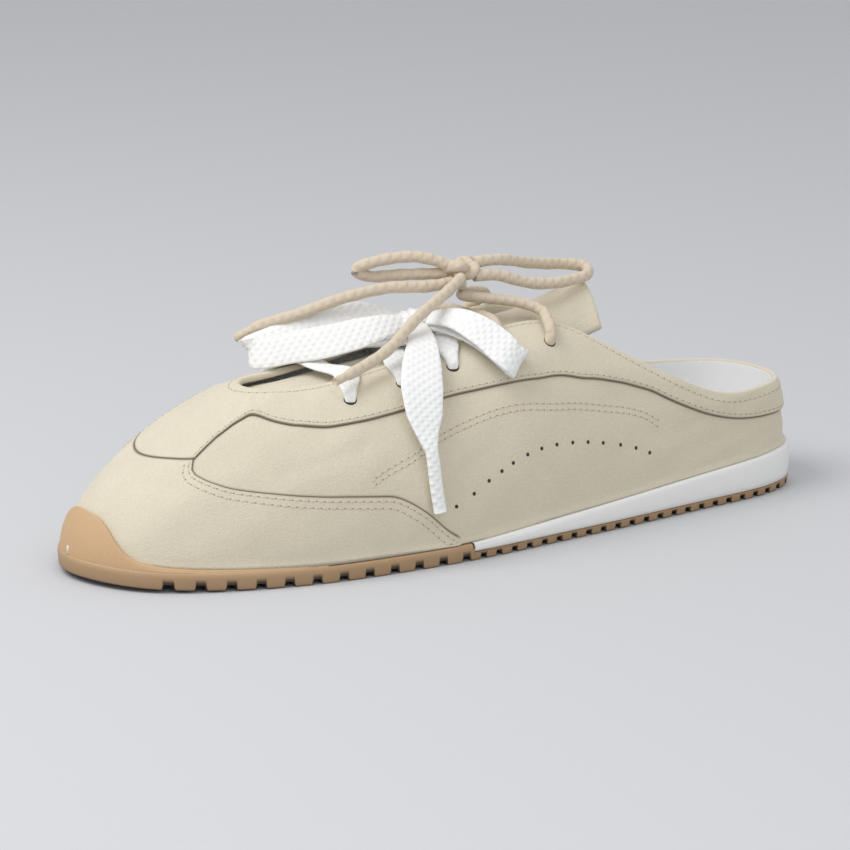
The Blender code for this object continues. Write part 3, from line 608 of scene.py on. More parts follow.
def darken(tree, shader, colour, dark):
    """Painted shade: mixes the colour towards a dark one by the piece's own attribute of painted shade."""
    painted_shade = node(tree, "ShaderNodeAttribute", attribute_name="painted_shade")
    mix = node(tree, "ShaderNodeMix", data_type="RGBA")
    mix.inputs[7].default_value = dark
    link(tree, painted_shade.outputs["Fac"], mix.inputs["Factor"])
    link(tree, colour, mix.inputs[6])
    link(tree, mix.outputs[2], shader.inputs["Base Color"])


def make_gum(colours, grain):
    """Gum rubber, darkened by painted shade where the piece's attribute of painted shade says: on the side
    wall and in the lug gaps.
    """
    made, tree, shader, out, _ = make_surface(
        "tan gum", colours.gum[:3], 0.6, grain, 70.0, 900.0, 0.1, 0.2, 0.0003
    )
    # Painted shade: the dark colour the gum is mixed towards.
    darken(tree, shader, out, (0.035, 0.022, 0.012, 1))
    return made


def make_woven(name, colour, pitch, strength, grain, roughness=0.9):
    """Cloth lace: two crossing waves on the piece's own UV lift it like a flat braid."""
    made, tree, shader, _, lift = make_surface(
        name, colour, roughness, grain, 300.0, 2500.0, 0.05, strength, 0.0004, 0.2
    )
    place = tree.nodes.new("ShaderNodeTexCoord")
    waves = []
    for turn in (0.7, -0.7):
        mapping = node(tree, "ShaderNodeMapping")
        mapping.inputs["Rotation"].default_value = (0, 0, turn)
        link(tree, place.outputs["UV"], mapping.inputs["Vector"])
        wave = node(tree, "ShaderNodeTexWave", Scale=1 / pitch / 20 * 3.18)
        link(tree, mapping.outputs["Vector"], wave.inputs["Vector"])
        waves.append(wave)
    top = node(tree, "ShaderNodeMath", operation="MULTIPLY")
    link(tree, waves[0].outputs["Fac"], top.inputs[0])
    link(tree, waves[1].outputs["Fac"], top.inputs[1])
    link(tree, top.outputs[0], lift.inputs["Height"])
    return made


MATERIALS = {}


def make_materials():
    """All finishes, made once."""
    if MATERIALS:
        return MATERIALS
    colours = bpy.context.scene.mule_colours
    grain = make_grain_group()
    MATERIALS["suede"] = make_suede(colours, grain)
    MATERIALS["gum"] = make_gum(colours, grain)
    MATERIALS["foam"] = make_surface(
        "white foam", colours.foam[:3], 0.6, grain, 120.0, 1400.0, 0.02, 0.12, 0.0003
    )[0]
    MATERIALS["lining"] = make_surface(
        "white lining", colours.lining[:3], 0.9, grain, 200.0, 2200.0, 0.03, 0.4, 0.0004, 0.2
    )[0]
    MATERIALS["cotton"] = make_woven("white cotton", colours.white_lace[:3], 0.0011, 0.6, grain)
    MATERIALS["cord"] = make_woven("beige cord", colours.beige_lace[:3], 0.0013, 0.7, grain)
    MATERIALS["thread"] = make_surface(
        "sewing thread", colours.thread[:3], 0.7, grain, 300.0, 2500.0, 0.05, 0.2, 0.0002
    )[0]
    # Painted shade: darker sunk beads stand in for the shade in the needle holes between stitches.
    MATERIALS["prick"] = make_surface(
        "needle hole", (0.30, 0.25, 0.18), 0.95, grain, 300.0, 2500.0, 0.1, 0.2, 0.0002
    )[0]
    # Painted shade: near-black caps stand in for the shaded inside of the punched holes and eyelets.
    MATERIALS["hole"] = make_surface(
        "punched hole", (0.05, 0.038, 0.026), 0.95, grain, 300.0, 2500.0, 0.1, 0.2, 0.0002
    )[0]
    return MATERIALS


# Upper


def crease_depth(along, share, side, length):
    """Depth of the soft creases: a Gaussian across each line, faded out along it past both ends."""
    depth = np.zeros_like(share)
    spot_x, spot_y = along * LENGTH, share * length
    for a0, s0, a1, s1, wide, deep, which in CREASES:
        start = np.stack([a0 / 100 * LENGTH + 0 * length, s0 / 100 * length], -1)
        end = np.stack([a1 / 100 * LENGTH + 0 * length, s1 / 100 * length], -1)
        run = end - start
        size = (run**2).sum(-1)
        off = np.stack([spot_x, spot_y], -1) - start
        place = (off * run).sum(-1) / size
        far = off - np.clip(place, 0, 1)[..., None] * run
        gap2 = (far**2).sum(-1)
        soft = np.exp(-gap2 / (wide / 2000) ** 2)
        on = 1.0 if which == 0 else (side == which)
        depth += deep / 1000 * soft * on
    return depth


def upper_rows(turn):
    """Shares of the upper's outer rows, packed close at the panel's edges."""
    length = rib_length(turn)[:, None]
    low, high = (edge[:, None] for edge in panel_edges(turn))
    low = np.maximum(low, PANEL_LEAST)
    high = np.maximum(high, low)
    mm = 0.001 / length
    near = EDGE_ROWS * mm
    inner = np.minimum(near, (high - low) * 0.45)
    below = (low - near[:, -1:]) * np.linspace(0, 1, 18)[:-1]
    between = low + inner[:, -1:] + (high - low - 2 * inner[:, -1:]) * np.linspace(0, 1, 46)[1:-1]
    above = high + near[:, -1:] + (1 - high - near[:, -1:]) * np.linspace(0, 1, 24)[1:]
    rows = [below, low - near[:, ::-1], low, low + inner, between]
    rows += [high - inner[:, ::-1], high, high + near, above]
    return np.maximum.accumulate(np.concatenate(rows, 1), 1)


def relief(turn, share, overlay):
    """Lift of the outer face and its painted shade, a dark line in the crevices along the panel's edges: a
    step down into the side panel, soft padding above it, creases, and a slow swell, all as functions of the
    place."""
    length = rib_length(turn)[:, None]
    low, high = (edge[:, None] for edge in panel_edges(turn))
    has_low = smooth_step(low, PANEL_LEAST, PANEL_LEAST + 0.012)
    low = np.maximum(low, PANEL_LEAST)
    high = np.maximum(high, low)
    closed = smooth_step((high - low) * length, 0.0, 0.0006)
    off_low, off_high = (share - low) * length, (high - share) * length
    step_low = np.maximum(smooth_step(off_low, -0.00025, 0.0001), 1 - has_low)
    step = np.minimum(step_low, smooth_step(off_high, -0.00025, 0.0001)) * closed
    # Painted shade: a dark line just inside each edge of the side panel, in the crevice where the overlay
    # steps down.
    dark_low = np.exp(-(((off_low - 0.0001) / 0.00034) ** 2)) * has_low
    dark_high = np.exp(-(((off_high - 0.0001) / 0.00034) ** 2))
    dark = np.maximum(dark_low, dark_high)
    along = from_heel(outline(turn)[:, 0])[:, None] / LENGTH
    side = np.where(turn < TOE_TURN, 1, -1)[:, None]
    lower = crease_depth(along + 0 * share, share, side, length)
    fade = smooth_step(share, 0.0, 0.08) * (1 - smooth_step(share, 0.93, 1.0))
    swell = 0.00022 * np.sin(along * 46 + share * 7) * np.sin(share * 11 + along * 9)
    pad = 0.0005 * np.sin(math.pi * np.clip((share - high) / (1 - high + 1e-6), 0, 1)) ** 0.7
    pad = pad * smooth_step(0.93 - along, 0, 0.05)
    foot = np.exp(-((share * length / 0.0012) ** 2)) * FOOT_SWELL
    return pad - step * overlay - (lower + swell) * fade + foot, dark


def upper_turns(count):
    """Places round the shoe, closer where the panel's nose turns over the ribs."""
    weight = 1 + 3.2 * np.exp(-(((FINE_ALONG - 0.936) / 0.010) ** 2))
    total = np.concatenate([[0], np.cumsum((weight[1:] + weight[:-1]) / 2)])
    return np.interp(np.arange(count) / count, total / total[-1], FINE)


def make_upper(overlay):
    """A closed wall: the outer face with sunk panels, a half circle over the rim, and the lining."""
    turn = upper_turns(760)
    share = upper_rows(turn)
    point, normal, _ = face_frame(turn, share)
    lift, painted_shade = relief(turn, share, overlay)
    outer = point + normal * lift[..., None]
    _, rim_normal, rim_up = face_frame(turn, np.full((len(turn), 1), 1.0))
    rim = point[:, -1:]
    centre = rim - rim_normal * WALL / 2
    angle = np.linspace(0, math.pi, 10)[1:-1][None, :, None]
    roll = centre + (rim_normal * np.cos(angle) + rim_up * np.sin(angle)) * WALL / 2
    inner_share = np.linspace(1, 0, 20)
    inner_point, inner_normal, _ = face_frame(turn, np.tile(inner_share, (len(turn), 1)))
    inner = inner_point - inner_normal * WALL
    inner[:, -1, 2] = outer[:, 0, 2]
    points = np.concatenate([outer, roll, inner], 1)
    rows = points.shape[1]
    suede, lining = make_materials()["suede"], make_materials()["lining"]
    quads = grid_quads(len(turn), rows, close_rows=True, close_columns=True)
    made = lay_mesh("suede_upper", points.reshape(-1, 3), quads, suede)
    made.data.materials.append(lining)
    first_lining = outer.shape[1] + 7
    strip = quads[:, 0] % rows
    index = (strip >= first_lining) & (strip < rows - 1)
    made.data.polygons.foreach_set("material_index", index.astype(np.int32))
    # Painted shade on the outer face: the crevice lines from relief, and half strength on the bottom row
    # where the upper meets the sole.
    dark = np.zeros(points.shape[:2])
    dark[:, : outer.shape[1]] = painted_shade
    dark[:, 0] = 0.5
    add_value(made, "painted_shade", dark)
    return finish_piece(made, "suede", "upper")


# Stitches and holes


def bead_template(sides=6, rings=4):
    """A small capsule along X of unit half length and radius."""
    t = np.linspace(0, math.pi, rings + 2)[1:-1]
    x = -np.cos(t)
    r = np.sin(t) ** 0.6
    a = np.arange(sides) / sides * 2 * math.pi
    ring = np.stack([np.repeat(x, sides), np.outer(r, np.cos(a)).ravel(), np.outer(r, np.sin(a)).ravel()], 1)
    quads = grid_quads(rings, sides, close_columns=True, flip=True)
    return ring, quads, [np.arange(sides)[::-1], (rings - 1) * sides + np.arange(sides)]


def surface_path(turn, share, spacing, overlay):
    """Places a spacing apart along a line on the dressed upper, with normals and directions along it."""
    point, normal, _ = face_frame(turn, share[:, None])
    lift, _ = relief(turn, share[:, None], overlay)
    point, normal = point[:, 0] + normal[:, 0] * lift, normal[:, 0]
    far = np.concatenate([[0], np.cumsum(np.linalg.norm(np.diff(point, axis=0), axis=1))])
    at = np.arange(spacing / 2, far[-1], spacing / 2)
    place = np.stack([np.interp(at, far, point[:, k]) for k in range(3)], 1)
    facing = np.stack([np.interp(at, far, normal[:, k]) for k in range(3)], 1)
    along = np.gradient(place, axis=0)
    return place, facing, along / np.maximum(np.linalg.norm(along, axis=1, keepdims=True), 1e-9)


def beads(place, facing, along, half, radius, lift):
    """Capsules laid on the surface: the template turned to each place's own directions."""
    template, quads, caps = bead_template()
    across = np.cross(facing, along)
    size = np.stack([along * half, across * radius, facing * radius * 0.7], 1)
    points = (template[None] @ size) + (place + facing * lift)[:, None]
    start = np.arange(len(place))[:, None, None] * len(template)
    all_caps = [cap + k * len(template) for k in range(len(place)) for cap in caps]
    return points.reshape(-1, 3), (quads[None] + start).reshape(-1, 4), all_caps


def edge_line(side, edge, offset):
    """A line a distance off the panel's edge, on the overlay's side, in turn and share."""
    if edge == "low":
        along = np.linspace(0.572, 0.9415, 220)
    else:
        along = np.linspace(0.004, 0.9415, 380)
    turn = turn_at(along, side)
    low, high = panel_edges(turn)
    share = low if edge == "low" else high
    length = rib_length(turn)
    x, y = turn * PERIMETER, share * length
    dx, dy = np.gradient(x), np.gradient(y)
    size = np.hypot(dx, dy)
    way = side * (1 if edge == "low" else -1)
    x = x + way * dy / size * offset
    y = y - way * dx / size * offset
    return x / PERIMETER, np.clip(y / length, 0.01, 0.97)


def arc_line(side, offset):
    far = np.linspace(0, 1, 240)
    knots = np.linspace(0, 1, len(STITCH_ARC))
    line = open_spline(knots, STITCH_ARC, far)
    turn = turn_at(line[:, 0], side)
    length = rib_length(turn)
    return turn, line[:, 1] + offset / length


def stitch_lines():
    """Turns and shares of every row of stitches."""
    lines = []
    for side in (1, -1):
        for offset in STITCH_ROWS:
            lines.append(edge_line(side, "low", offset))
        lines.append(edge_line(side, "high", STITCH_ROWS[0]))
        for offset in ARC_ROWS:
            lines.append(arc_line(side, offset))
    around = np.linspace(0, 1, 900)
    lines.append((around, 1 - 0.0022 / rib_length(around)))
    return lines


def join_beads(made):
    """Points, faces and caps of many bead sets as one."""
    start = np.concatenate([[0], np.cumsum([len(part[0]) for part in made])])
    points = np.concatenate([part[0] for part in made])
    quads = np.concatenate([part[1] + start[k] for k, part in enumerate(made)])
    return points, quads, [cap + start[k] for k, part in enumerate(made) for cap in part[2]]


def make_stitches(pitch, overlay):
    """Rows of thread beads along the panel's edges, the arc and the rim, with a needle hole of painted shade
    between.
    """
    threads, pricks = [], []
    for turn, share in stitch_lines():
        place, facing, along = surface_path(turn, share, pitch, overlay)
        at = (place[::2], facing[::2], along[::2])
        threads.append(beads(*at, pitch * 0.31, 0.00024, 0.00002))
        at = (place[1::2], facing[1::2], along[1::2])
        pricks.append(beads(*at, pitch * 0.15, 0.00027, -0.00008))
    for name, finish, made in (("stitches", "thread", threads), ("needle_holes", "prick", pricks)):
        points, quads, caps = join_beads(made)
        finish_piece(lay_mesh(name, points, quads, make_materials()[finish], caps), "suede")


def hole_discs(places, radius, lift, overlay):
    """Round caps for the painted shade of holes, one at each place on the dressed upper."""
    points, quads, caps = [], [], []
    sides = 16
    a = np.arange(sides) / sides * 2 * math.pi
    for k, (turn, share) in enumerate(places):
        over, _ = relief(np.array([turn]), np.array([[share]]), overlay)
        point, normal, up = spot(turn, share, lift + over[0, 0])
        across = np.cross(up, normal)
        ring = point + (np.cos(a)[:, None] * across + np.sin(a)[:, None] * up) * radius
        points.append(np.concatenate([ring, ring - normal * 0.0009]))
        number = k * 2 * sides
        j = np.arange(sides)
        after = (j + 1) % sides
        quads.append(np.stack([j, j + sides, after + sides, after], 1) + number)
        caps += [j + number, j[::-1] + sides + number]
    return np.concatenate(points), np.concatenate(quads), caps


def make_holes(radius, overlay):
    """Perforations on both sides, as caps of painted shade."""
    places = []
    for side in (1, -1):
        turn = turn_at(HOLES[:, 0], side)
        places += list(zip(turn, HOLES[:, 1]))
    points, quads, caps = hole_discs(places, radius, 0.00006, overlay)
    made = lay_mesh("punched_holes", points, quads, make_materials()["hole"], caps)
    return finish_piece(made, "suede")


def eyelet_places():
    """Turn of each eyelet on both sides, where its rib passes the row's place from the heel."""
    x = from_heel(upper_surface(FINE, np.array([EYELET_SHARE]))[:, 0, 0])
    toe = int(np.argmax(x))
    sides = []
    for skew, part in ((0.0, slice(0, toe)), (EYELET_SKEW, slice(toe, None))):
        turn, place = FINE[part], x[part]
        order = np.argsort(place)
        row = [EYELET_FIRST + skew - EYELET_PITCH * i for i in range(EYELETS)]
        sides.append(np.interp(row, place[order], turn[order]))
    return sides


def make_eyelets(radius, overlay):
    """Punched eyelets in both rows, as dark caps of painted shade."""
    places = [(turn, EYELET_SHARE) for side in eyelet_places() for turn in side]
    points, quads, caps = hole_discs(places, radius, 0.00008, overlay)
    made = lay_mesh("eyelet_holes", points, quads, make_materials()["hole"], caps)
    return finish_piece(made, "suede")


# Sole


def lug_cut(x):
    """1 in the gaps between the lugs, 0 on them, with steep sides."""
    place = from_heel(x)
    cut = np.zeros_like(place)
    start = LUG_PITCH_REAR
    while start < LUG_LAST:
        front = start > WEDGE_FRONT
        gap = LUG_GAP_FRONT if front else LUG_GAP_REAR
        rear_side = smooth_step(place, start - 0.0003, start + 0.0001)
        front_side = smooth_step(-place, -start - gap - 0.0003, -start - gap + 0.0001)
        cut = np.maximum(cut, rear_side * front_side)
        start += LUG_PITCH_FRONT if front else LUG_PITCH_REAR
    return cut


def middle_line(x):
    """Middle of the sole's two edges at each place along it."""
    outer, inner = outline(turn_at(from_heel(x) / LENGTH, 1)), outline(turn_at(from_heel(x) / LENGTH, -1))
    return (outer[:, 1] + inner[:, 1]) / 2


def sole_loft(turn, profile):
    """Rows from the middle of the underside over the edge to the middle of the top. Each profile row is
    (inset, share towards the middle, height array); rows lie on lines across the shoe."""
    edge = outline(turn)
    middle = middle_line(edge[:, 0])
    rows = []
    for inset, share, height in profile:
        point = outline(turn, np.full(len(turn), inset))
        y = point[:, 1] * (1 - share) + middle * share
        x = point[:, 0] * (1 - share) + edge[:, 0] * share
        rows.append(np.column_stack([x, y, height(point[:, 0]) if callable(height) else height]))
    points = np.stack(rows, 1)
    return points


def make_outsole():
    """Gum sheet: side wall round the whole edge with cut lugs below, lips rounded, wedge step behind."""
    turn = np.arange(1900) / 1900
    x = outline(turn)[:, 0]
    cut = lug_cut(x)
    step = smooth_step(from_heel(x), WEDGE_FRONT - 0.0006, WEDGE_FRONT)
    top = GUM_REAR + (sole_top(x) - GUM_REAR) * step
    low = spring(x) + cut * LUG_DEPTH
    rows = []
    for share in (0.96, 0.6, 0.25, 0.03):
        rows.append((0.0008, share, low))
    rows += [(0.0005, 0, low), (0.0001, 0, low + 0.00025), (0.0, 0, low + 0.0007)]
    base = spring(x) + LUG_DEPTH
    rows += [(0.0, 0, np.maximum(base, low + 0.0008)), (-0.0002, 0, (base + top) / 2 + 0.0002)]
    rows += [(0.0, 0, top - 0.0005), (0.0003, 0, top - 0.0001), (0.0009, 0, top)]
    rows += [(0.002, share, top) for share in (0.0, 0.5, 0.96)]
    points = sole_loft(turn, rows)
    quads = grid_quads(len(turn), points.shape[1], close_rows=True, close_columns=True)
    made = lay_mesh("gum_outsole", points.reshape(-1, 3), quads, make_materials()["gum"])
    # Painted shade: full under the sole and in the lug gaps of the lower rows, less up the side wall, a
    # little on the top.
    side = np.array([1, 1, 1, 1, 0.8, 0.55, 0.4, 0.36, 0.3, 0.2, 0.12, 0.3, 0.4, 0.4, 0.4])[None]
    gap = cut[:, None] * np.array([1, 1, 1, 1, 1, 1, 1, 1, 0, 0, 0, 0, 0, 0, 0])[None]
    add_value(made, "painted_shade", np.maximum(side + 0 * gap, gap * 0.97))
    return finish_piece(made, "gum_rubber", "outsole")


def make_bumper():
    """Gum up the toe: a wall on the upper's own face whose top edge is a half round."""
    reached = FINE[FINE_ALONG > 0.75]
    turn = np.linspace(reached[0], reached[-1], 340)
    along = from_heel(outline(turn)[:, 0]) / LENGTH
    knots = np.interp(along, BUMPER[:, 0], BUMPER[:, 1])
    kernel = np.exp(-np.linspace(-2, 2, 15) ** 2)
    stand = np.convolve(np.pad(knots, 7, mode="edge"), kernel / kernel.sum(), "valid") * BUMPER_HEIGHT
    scan = np.linspace(0, 0.5, 60)
    ring = upper_surface(turn, scan)
    rise = ring[:, :, 2] - ring[:, :1, 2]
    share = np.array([np.interp(stand[k], rise[k], scan) for k in range(len(turn))])
    steps = np.linspace(0, 1, 12)
    face, normal, up = face_frame(turn, share[:, None] * steps[None])
    thick = np.minimum(BUMPER_WALL, feather_inset(outline(turn)[:, 0]) - CLEARANCE - 0.0001)[:, None]
    body = face + normal * (CLEARANCE * 0.3 + thick * (1 - 0.12 * steps[None] ** 2))[..., None]
    angle = np.linspace(0, math.pi, 8)[1:][None, :, None]
    end, end_normal, end_up = face[:, -1:], normal[:, -1:], up[:, -1:]
    radius = thick[..., None] * 0.44
    roll = (end_normal * np.cos(angle) + end_up * np.sin(angle)) * radius
    lip = end + end_normal * (0.0001 + radius) + roll
    root = body[:, :1].copy()
    root[..., 2] -= 0.0035
    back = face[:, :1].copy()
    back[..., 2] -= 0.0035
    points = np.concatenate([root, body, lip, back], 1)
    quads = grid_quads(len(turn), points.shape[1], close_columns=True)
    rows = points.shape[1]
    caps = [np.arange(rows)[::-1], (len(turn) - 1) * rows + np.arange(rows)]
    made = lay_mesh("gum_toe_bumper", points.reshape(-1, 3), quads, make_materials()["gum"], caps)
    add_value(made, "painted_shade", np.zeros(points.shape[:2]))
    return finish_piece(made, "gum_rubber")


def make_midsole():
    """White wedge from the heel forward: side wall with rounded lips, ending at the gum's step."""
    front = turn_at((WEDGE_FRONT - 0.0006) / LENGTH, 1)
    back = turn_at((WEDGE_FRONT - 0.0006) / LENGTH, -1) - 1
    turn = np.linspace(back, front, 900)
    x = outline(turn)[:, 0]
    bottom = np.full(len(turn), GUM_REAR + CLEARANCE * 0.5)
    top = sole_top(x)
    height = top - bottom
    rows = [(0.004, 0.9, bottom), (0.002, 0, bottom), (0.0006, 0, bottom), (0.0001, 0, bottom + 0.0004)]
    rows += [(-0.0001 - 0.0003 * math.sin(math.pi * t), 0, bottom + height * t) for t in (0.2, 0.4, 0.6, 0.8)]
    rows += [(-0.0002, 0, top - 0.0008), (0.0, 0, top - 0.0003), (0.0004, 0, top), (0.0012, 0, top + 0.0001)]
    rows += [(0.004, 0, top), (0.004, 0.9, top)]
    points = sole_loft(turn, rows)
    count = points.shape[1]
    quads = grid_quads(len(turn), count, close_columns=True)
    caps = [np.arange(count)[::-1], (len(turn) - 1) * count + np.arange(count)]
    made = lay_mesh("white_wedge", points.reshape(-1, 3), quads, make_materials()["foam"], caps)
    return finish_piece(made, "white_foam", "midsole")


def make_insole():
    """Footbed: top slightly dished towards the middle, edges rounded, on the sole inside the wall."""
    turn = np.arange(700) / 700
    inset = TOE_INSET + WALL + INSOLE_CLEARANCE
    x = outline(turn, np.full(700, inset))[:, 0]
    low = sole_top(x) + CLEARANCE
    high = low + INSOLE_THICKNESS
    rows = [(inset, 0.96, low), (inset, 0.0, low), (inset, 0.0, high - 0.0008)]
    rows += [(inset + 0.0003, 0.0, high - 0.0003), (inset + 0.001, 0, high)]
    for share, sag in ((0.1, 0.0003), (0.25, 0.0007), (0.45, 0.001), (0.7, 0.0012), (0.97, 0.0012)):
        rows.append((inset, share, high - sag))
    points = sole_loft(turn, rows)
    quads = grid_quads(700, points.shape[1], close_rows=True, close_columns=True)
    made = lay_mesh("footbed", points.reshape(-1, 3), quads, make_materials()["lining"])
    return finish_piece(made, "white_fabric", "insole")


# Tongue


def make_tongue():
    """A bent sheet of low arches with rounded side and top edges, a little wavy, lining below."""
    place = np.linspace(0, 1, 150)
    values = open_spline(np.linspace(0, 1, len(TONGUE)), TONGUE, place)
    middle = np.interp(values[:, 0], TONGUE_AXIS[::-1, 0], TONGUE_AXIS[::-1, 1]) * BALL_WIDTH
    around = np.linspace(-1, 1, 61)
    x = np.repeat((values[:, 0] * LENGTH - LENGTH / 2)[:, None], 61, 1)
    y = middle[:, None] + values[:, 3:] * BALL_WIDTH * around
    z = values[:, 1:2] * INSTEP_HEIGHT - values[:, 2:3] * INSTEP_HEIGHT * np.abs(around) ** 2.1
    top = np.stack([x, y, z], -1)
    normal = np.cross(np.gradient(top, axis=1), np.gradient(top, axis=0))
    normal /= np.linalg.norm(normal, axis=-1, keepdims=True)
    normal *= np.sign(normal[..., 2:3])
    wave = 0.0002 * np.sin(place[:, None] * 34 + around[None] * 5)
    side = np.sqrt(np.clip(1 - np.clip((np.abs(around) - 0.93) / 0.07, 0, 1) ** 2, 0.02, 1))[None]
    tip = np.sqrt(np.clip(1 - np.clip((place - 0.985) / 0.015, 0, 1) ** 2, 0.02, 1))[:, None]
    half = TONGUE_THICKNESS / 2 * side * tip
    centre = top - normal * TONGUE_THICKNESS / 2
    over = centre + normal * (half + wave * side * tip)[..., None]
    under = centre - normal * half[..., None]
    points = np.concatenate([over, under[:, ::-1]], 1)
    rows, count = points.shape[:2]
    quads = grid_quads(rows, count, close_columns=True)
    caps = [np.arange(count)[::-1], (rows - 1) * count + np.arange(count)]
    mats = make_materials()
    made = lay_mesh("suede_tongue", points.reshape(-1, 3), quads, mats["suede"], caps)
    made.data.materials.append(mats["lining"])
    index = np.zeros(len(made.data.polygons), np.int32)
    index[: len(quads)] = (quads[:, 0] % count >= 61) & (quads[:, 0] % count < count - 1)
    made.data.polygons.foreach_set("material_index", index)
    add_value(made, "painted_shade", np.zeros(rows * count))
    return finish_piece(made, "suede", "tongue")


# Laces. Routes in millimetres, x from the heel. A flat lace's row also has its width.

WHITE_KNOT = ((144.5, 2.0, 68.1), (6.0, 6.5, 4.8))
BEIGE_KNOT = ((127.0, 2.0, 82.9), (6.2, 5.2, 5.6))
WHITE_ROUTES = {
    "white_lace_loop_front": (
        (0.0, -0.62, 0.78),
        (
            (151.5, -1.5, 69.2, 5),
            (160, -5, 71.2, 9),
            (170, -9, 69.6, 11),
            (180, -13, 66.0, 11),
            (188, -16.6, 62.4, 10.5),
            (193.2, -18.6, 60.2, 9.5),
            (192.6, -15.6, 60.0, 9.5),
            (186, -10.4, 61.6, 10.5),
            (176, -3.4, 64.2, 11),
            (166, 2.2, 67.0, 10.5),
            (157, 4.6, 69.0, 8),
            (151.6, 4.4, 69.4, 5),
        ),
    ),
    "white_lace_loop_side": (
        (-0.67, -0.38, 0.63),
        (
            (141.2, 8.8, 71.0, 5),
            (138.2, 15.4, 71.6, 8),
            (134.2, 22.6, 69.4, 10.5),
            (130.2, 29.0, 65.0, 11.5),
            (127.0, 33.2, 60.6, 11),
            (124.6, 32.6, 58.8, 10.5),
            (125.2, 28.6, 60.2, 11),
            (129.6, 22.8, 64.6, 10),
            (135.6, 15.6, 68.2, 8),
            (140.4, 9.6, 69.0, 5),
        ),
    ),
    "white_lace_end_outer": (
        (0.97, -0.2, 0.0),
        (
            (146.8, 9.2, 68.6, 5.5),
            (151, 17, 66.4, 9),
            (156, 25, 61.5, 12.5),
            (160, 31.4, 55.0, 14),
            (162, 36.2, 47.5, 12),
            (162.6, 39.2, 41.5, 7),
            (162.4, 41.0, 37.0, 4),
            (162, 42.8, 28.0, 4),
            (161, 44.2, 18.0, 4),
        ),
    ),
    "white_lace_end_inner": (
        (0.97, 0.2, 0.0),
        (
            (146.5, -5.6, 69.0, 4.5),
            (150, -14, 67.0, 8),
            (155, -21, 62.5, 10.5),
            (159, -28, 57.0, 12),
            (161, -33.5, 50.0, 12),
            (161.5, -36.8, 43.0, 8),
            (161.3, -38.2, 38.0, 4),
            (161, -39.4, 30.0, 4),
            (160, -40.2, 21.0, 4),
        ),
    ),
}
BEIGE_ROUTES = {
    "beige_lace_loop_front": (
        (133.8, 1.6, 87.0),
        (141, -2.5, 88.4),
        (149, -6, 88.0),
        (155.5, -9, 86.4),
        (158.5, -11, 84.4),
        (155.5, -10.5, 82.4),
        (149, -8, 82.0),
        (141, -4, 82.4),
        (133.8, -2.2, 82.0),
    ),
    "beige_lace_loop_back": (
        (120.4, 1.6, 86.8),
        (112, 2.4, 85.4),
        (102, 0.6, 83.2),
        (92, -1.5, 81.2),
        (83, -2.2, 80.0),
        (77, 0.8, 78.8),
        (79.4, 5.4, 77.8),
        (87, 7.6, 77.0),
        (97, 7.6, 76.8),
        (107, 6.5, 78.6),
        (114.5, 5.4, 81.0),
        (120.6, 6.4, 80.6),
    ),
    "beige_lace_end_front": (
        (133.5, 3.4, 78.0),
        (141, 1.8, 79.4),
        (150, -0.6, 79.8),
        (160, -3.6, 78.6),
        (170, -8, 75.6),
        (179, -14, 71.4),
        (187, -21.6, 67.4),
        (193.0, -28.0, 62.6),
    ),
    "beige_lace_end_side": (
        (130.4, 8.4, 81.2),
        (138, 9.6, 78.2),
        (146, 12.5, 75.2),
        (155, 15.4, 70.6),
        (163, 17.4, 65.4),
        (171, 18.8, 62.0),
        (179, 20.2, 59.6),
        (186, 21.6, 58.0),
    ),
}
TIE_TOP = (126.2, 2.0, 75.1)
HEEL = np.array([-LENGTH / 2, 0, 0])


def placed(route):
    return np.array(route, float)[..., :3] / 1000 + HEEL


def meet(knot, point, inside):
    """The place on a knot's face in the direction of a point, moved inside so that the lace grows out."""
    place, radii = (np.array(part) / 1000 for part in knot)
    way = point - place - HEEL
    return place + HEEL + way / np.linalg.norm(way / radii) - inside * way / np.linalg.norm(way)


def smooth_route(route, spacing):
    """Points a spacing apart on a smooth curve through the route, and where its own points lie."""
    knots = np.concatenate([[0], np.cumsum(np.linalg.norm(np.diff(route, axis=0), axis=1))])
    at = np.linspace(0, knots[-1], max(8, int(round(knots[-1] / spacing)) + 1))
    return open_spline(knots, route, at), knots, at


def declare(made, path, diameter, far_end, slot, *nodes):
    finish_piece(made, slot, *nodes)


def make_white_laces(thickness):
    """Flat laces: loops and ends of the bow, each a rounded oblong carried along its route."""
    cotton = make_materials()["cotton"]
    for name, (across, rows) in WHITE_ROUTES.items():
        route = placed(rows)
        route[0] = meet(WHITE_KNOT, route[0], 0.0010)
        if "loop" in name:
            route[-1] = meet(WHITE_KNOT, route[-1], 0.0010)
        path, knots, at = smooth_route(route, 0.0012)
        wide = np.interp(at, knots, [row[3] / 1000 for row in rows])
        thick = np.interp(wide, [0.004, 0.008], [0.0026, thickness])
        facing = np.tile(across, (len(path), 1))
        made = tube(name + "_ribbon", path, wide, thick, facing, cotton, square=3.2, sides=20)
        declare(made, path, 0.011, "object" if "loop" in name else "bare", "white_cotton", name)


def over_throat(first, second, lift, rise):
    """Places of a lace from under one eyelet, up through it, over the throat and down the other."""
    points, facing = [], []
    for turn, flip in ((first, False), (second, True)):
        rows = []
        for share, height in (*THROUGH_EYELET, (0.86, lift), (0.94, lift), (1.0, lift)):
            point, normal, _ = spot(turn, share, height)
            rows.append((point, normal))
        rows = rows[::-1] if flip else rows
        points += [row[0] for row in rows]
        facing += [row[1] for row in rows]
    middle = (points[4] + points[5]) / 2
    middle[2] += rise
    return np.array(points[:5] + [middle] + points[5:]), np.array(facing[:5] + [[0, 0, 1]] + facing[5:])


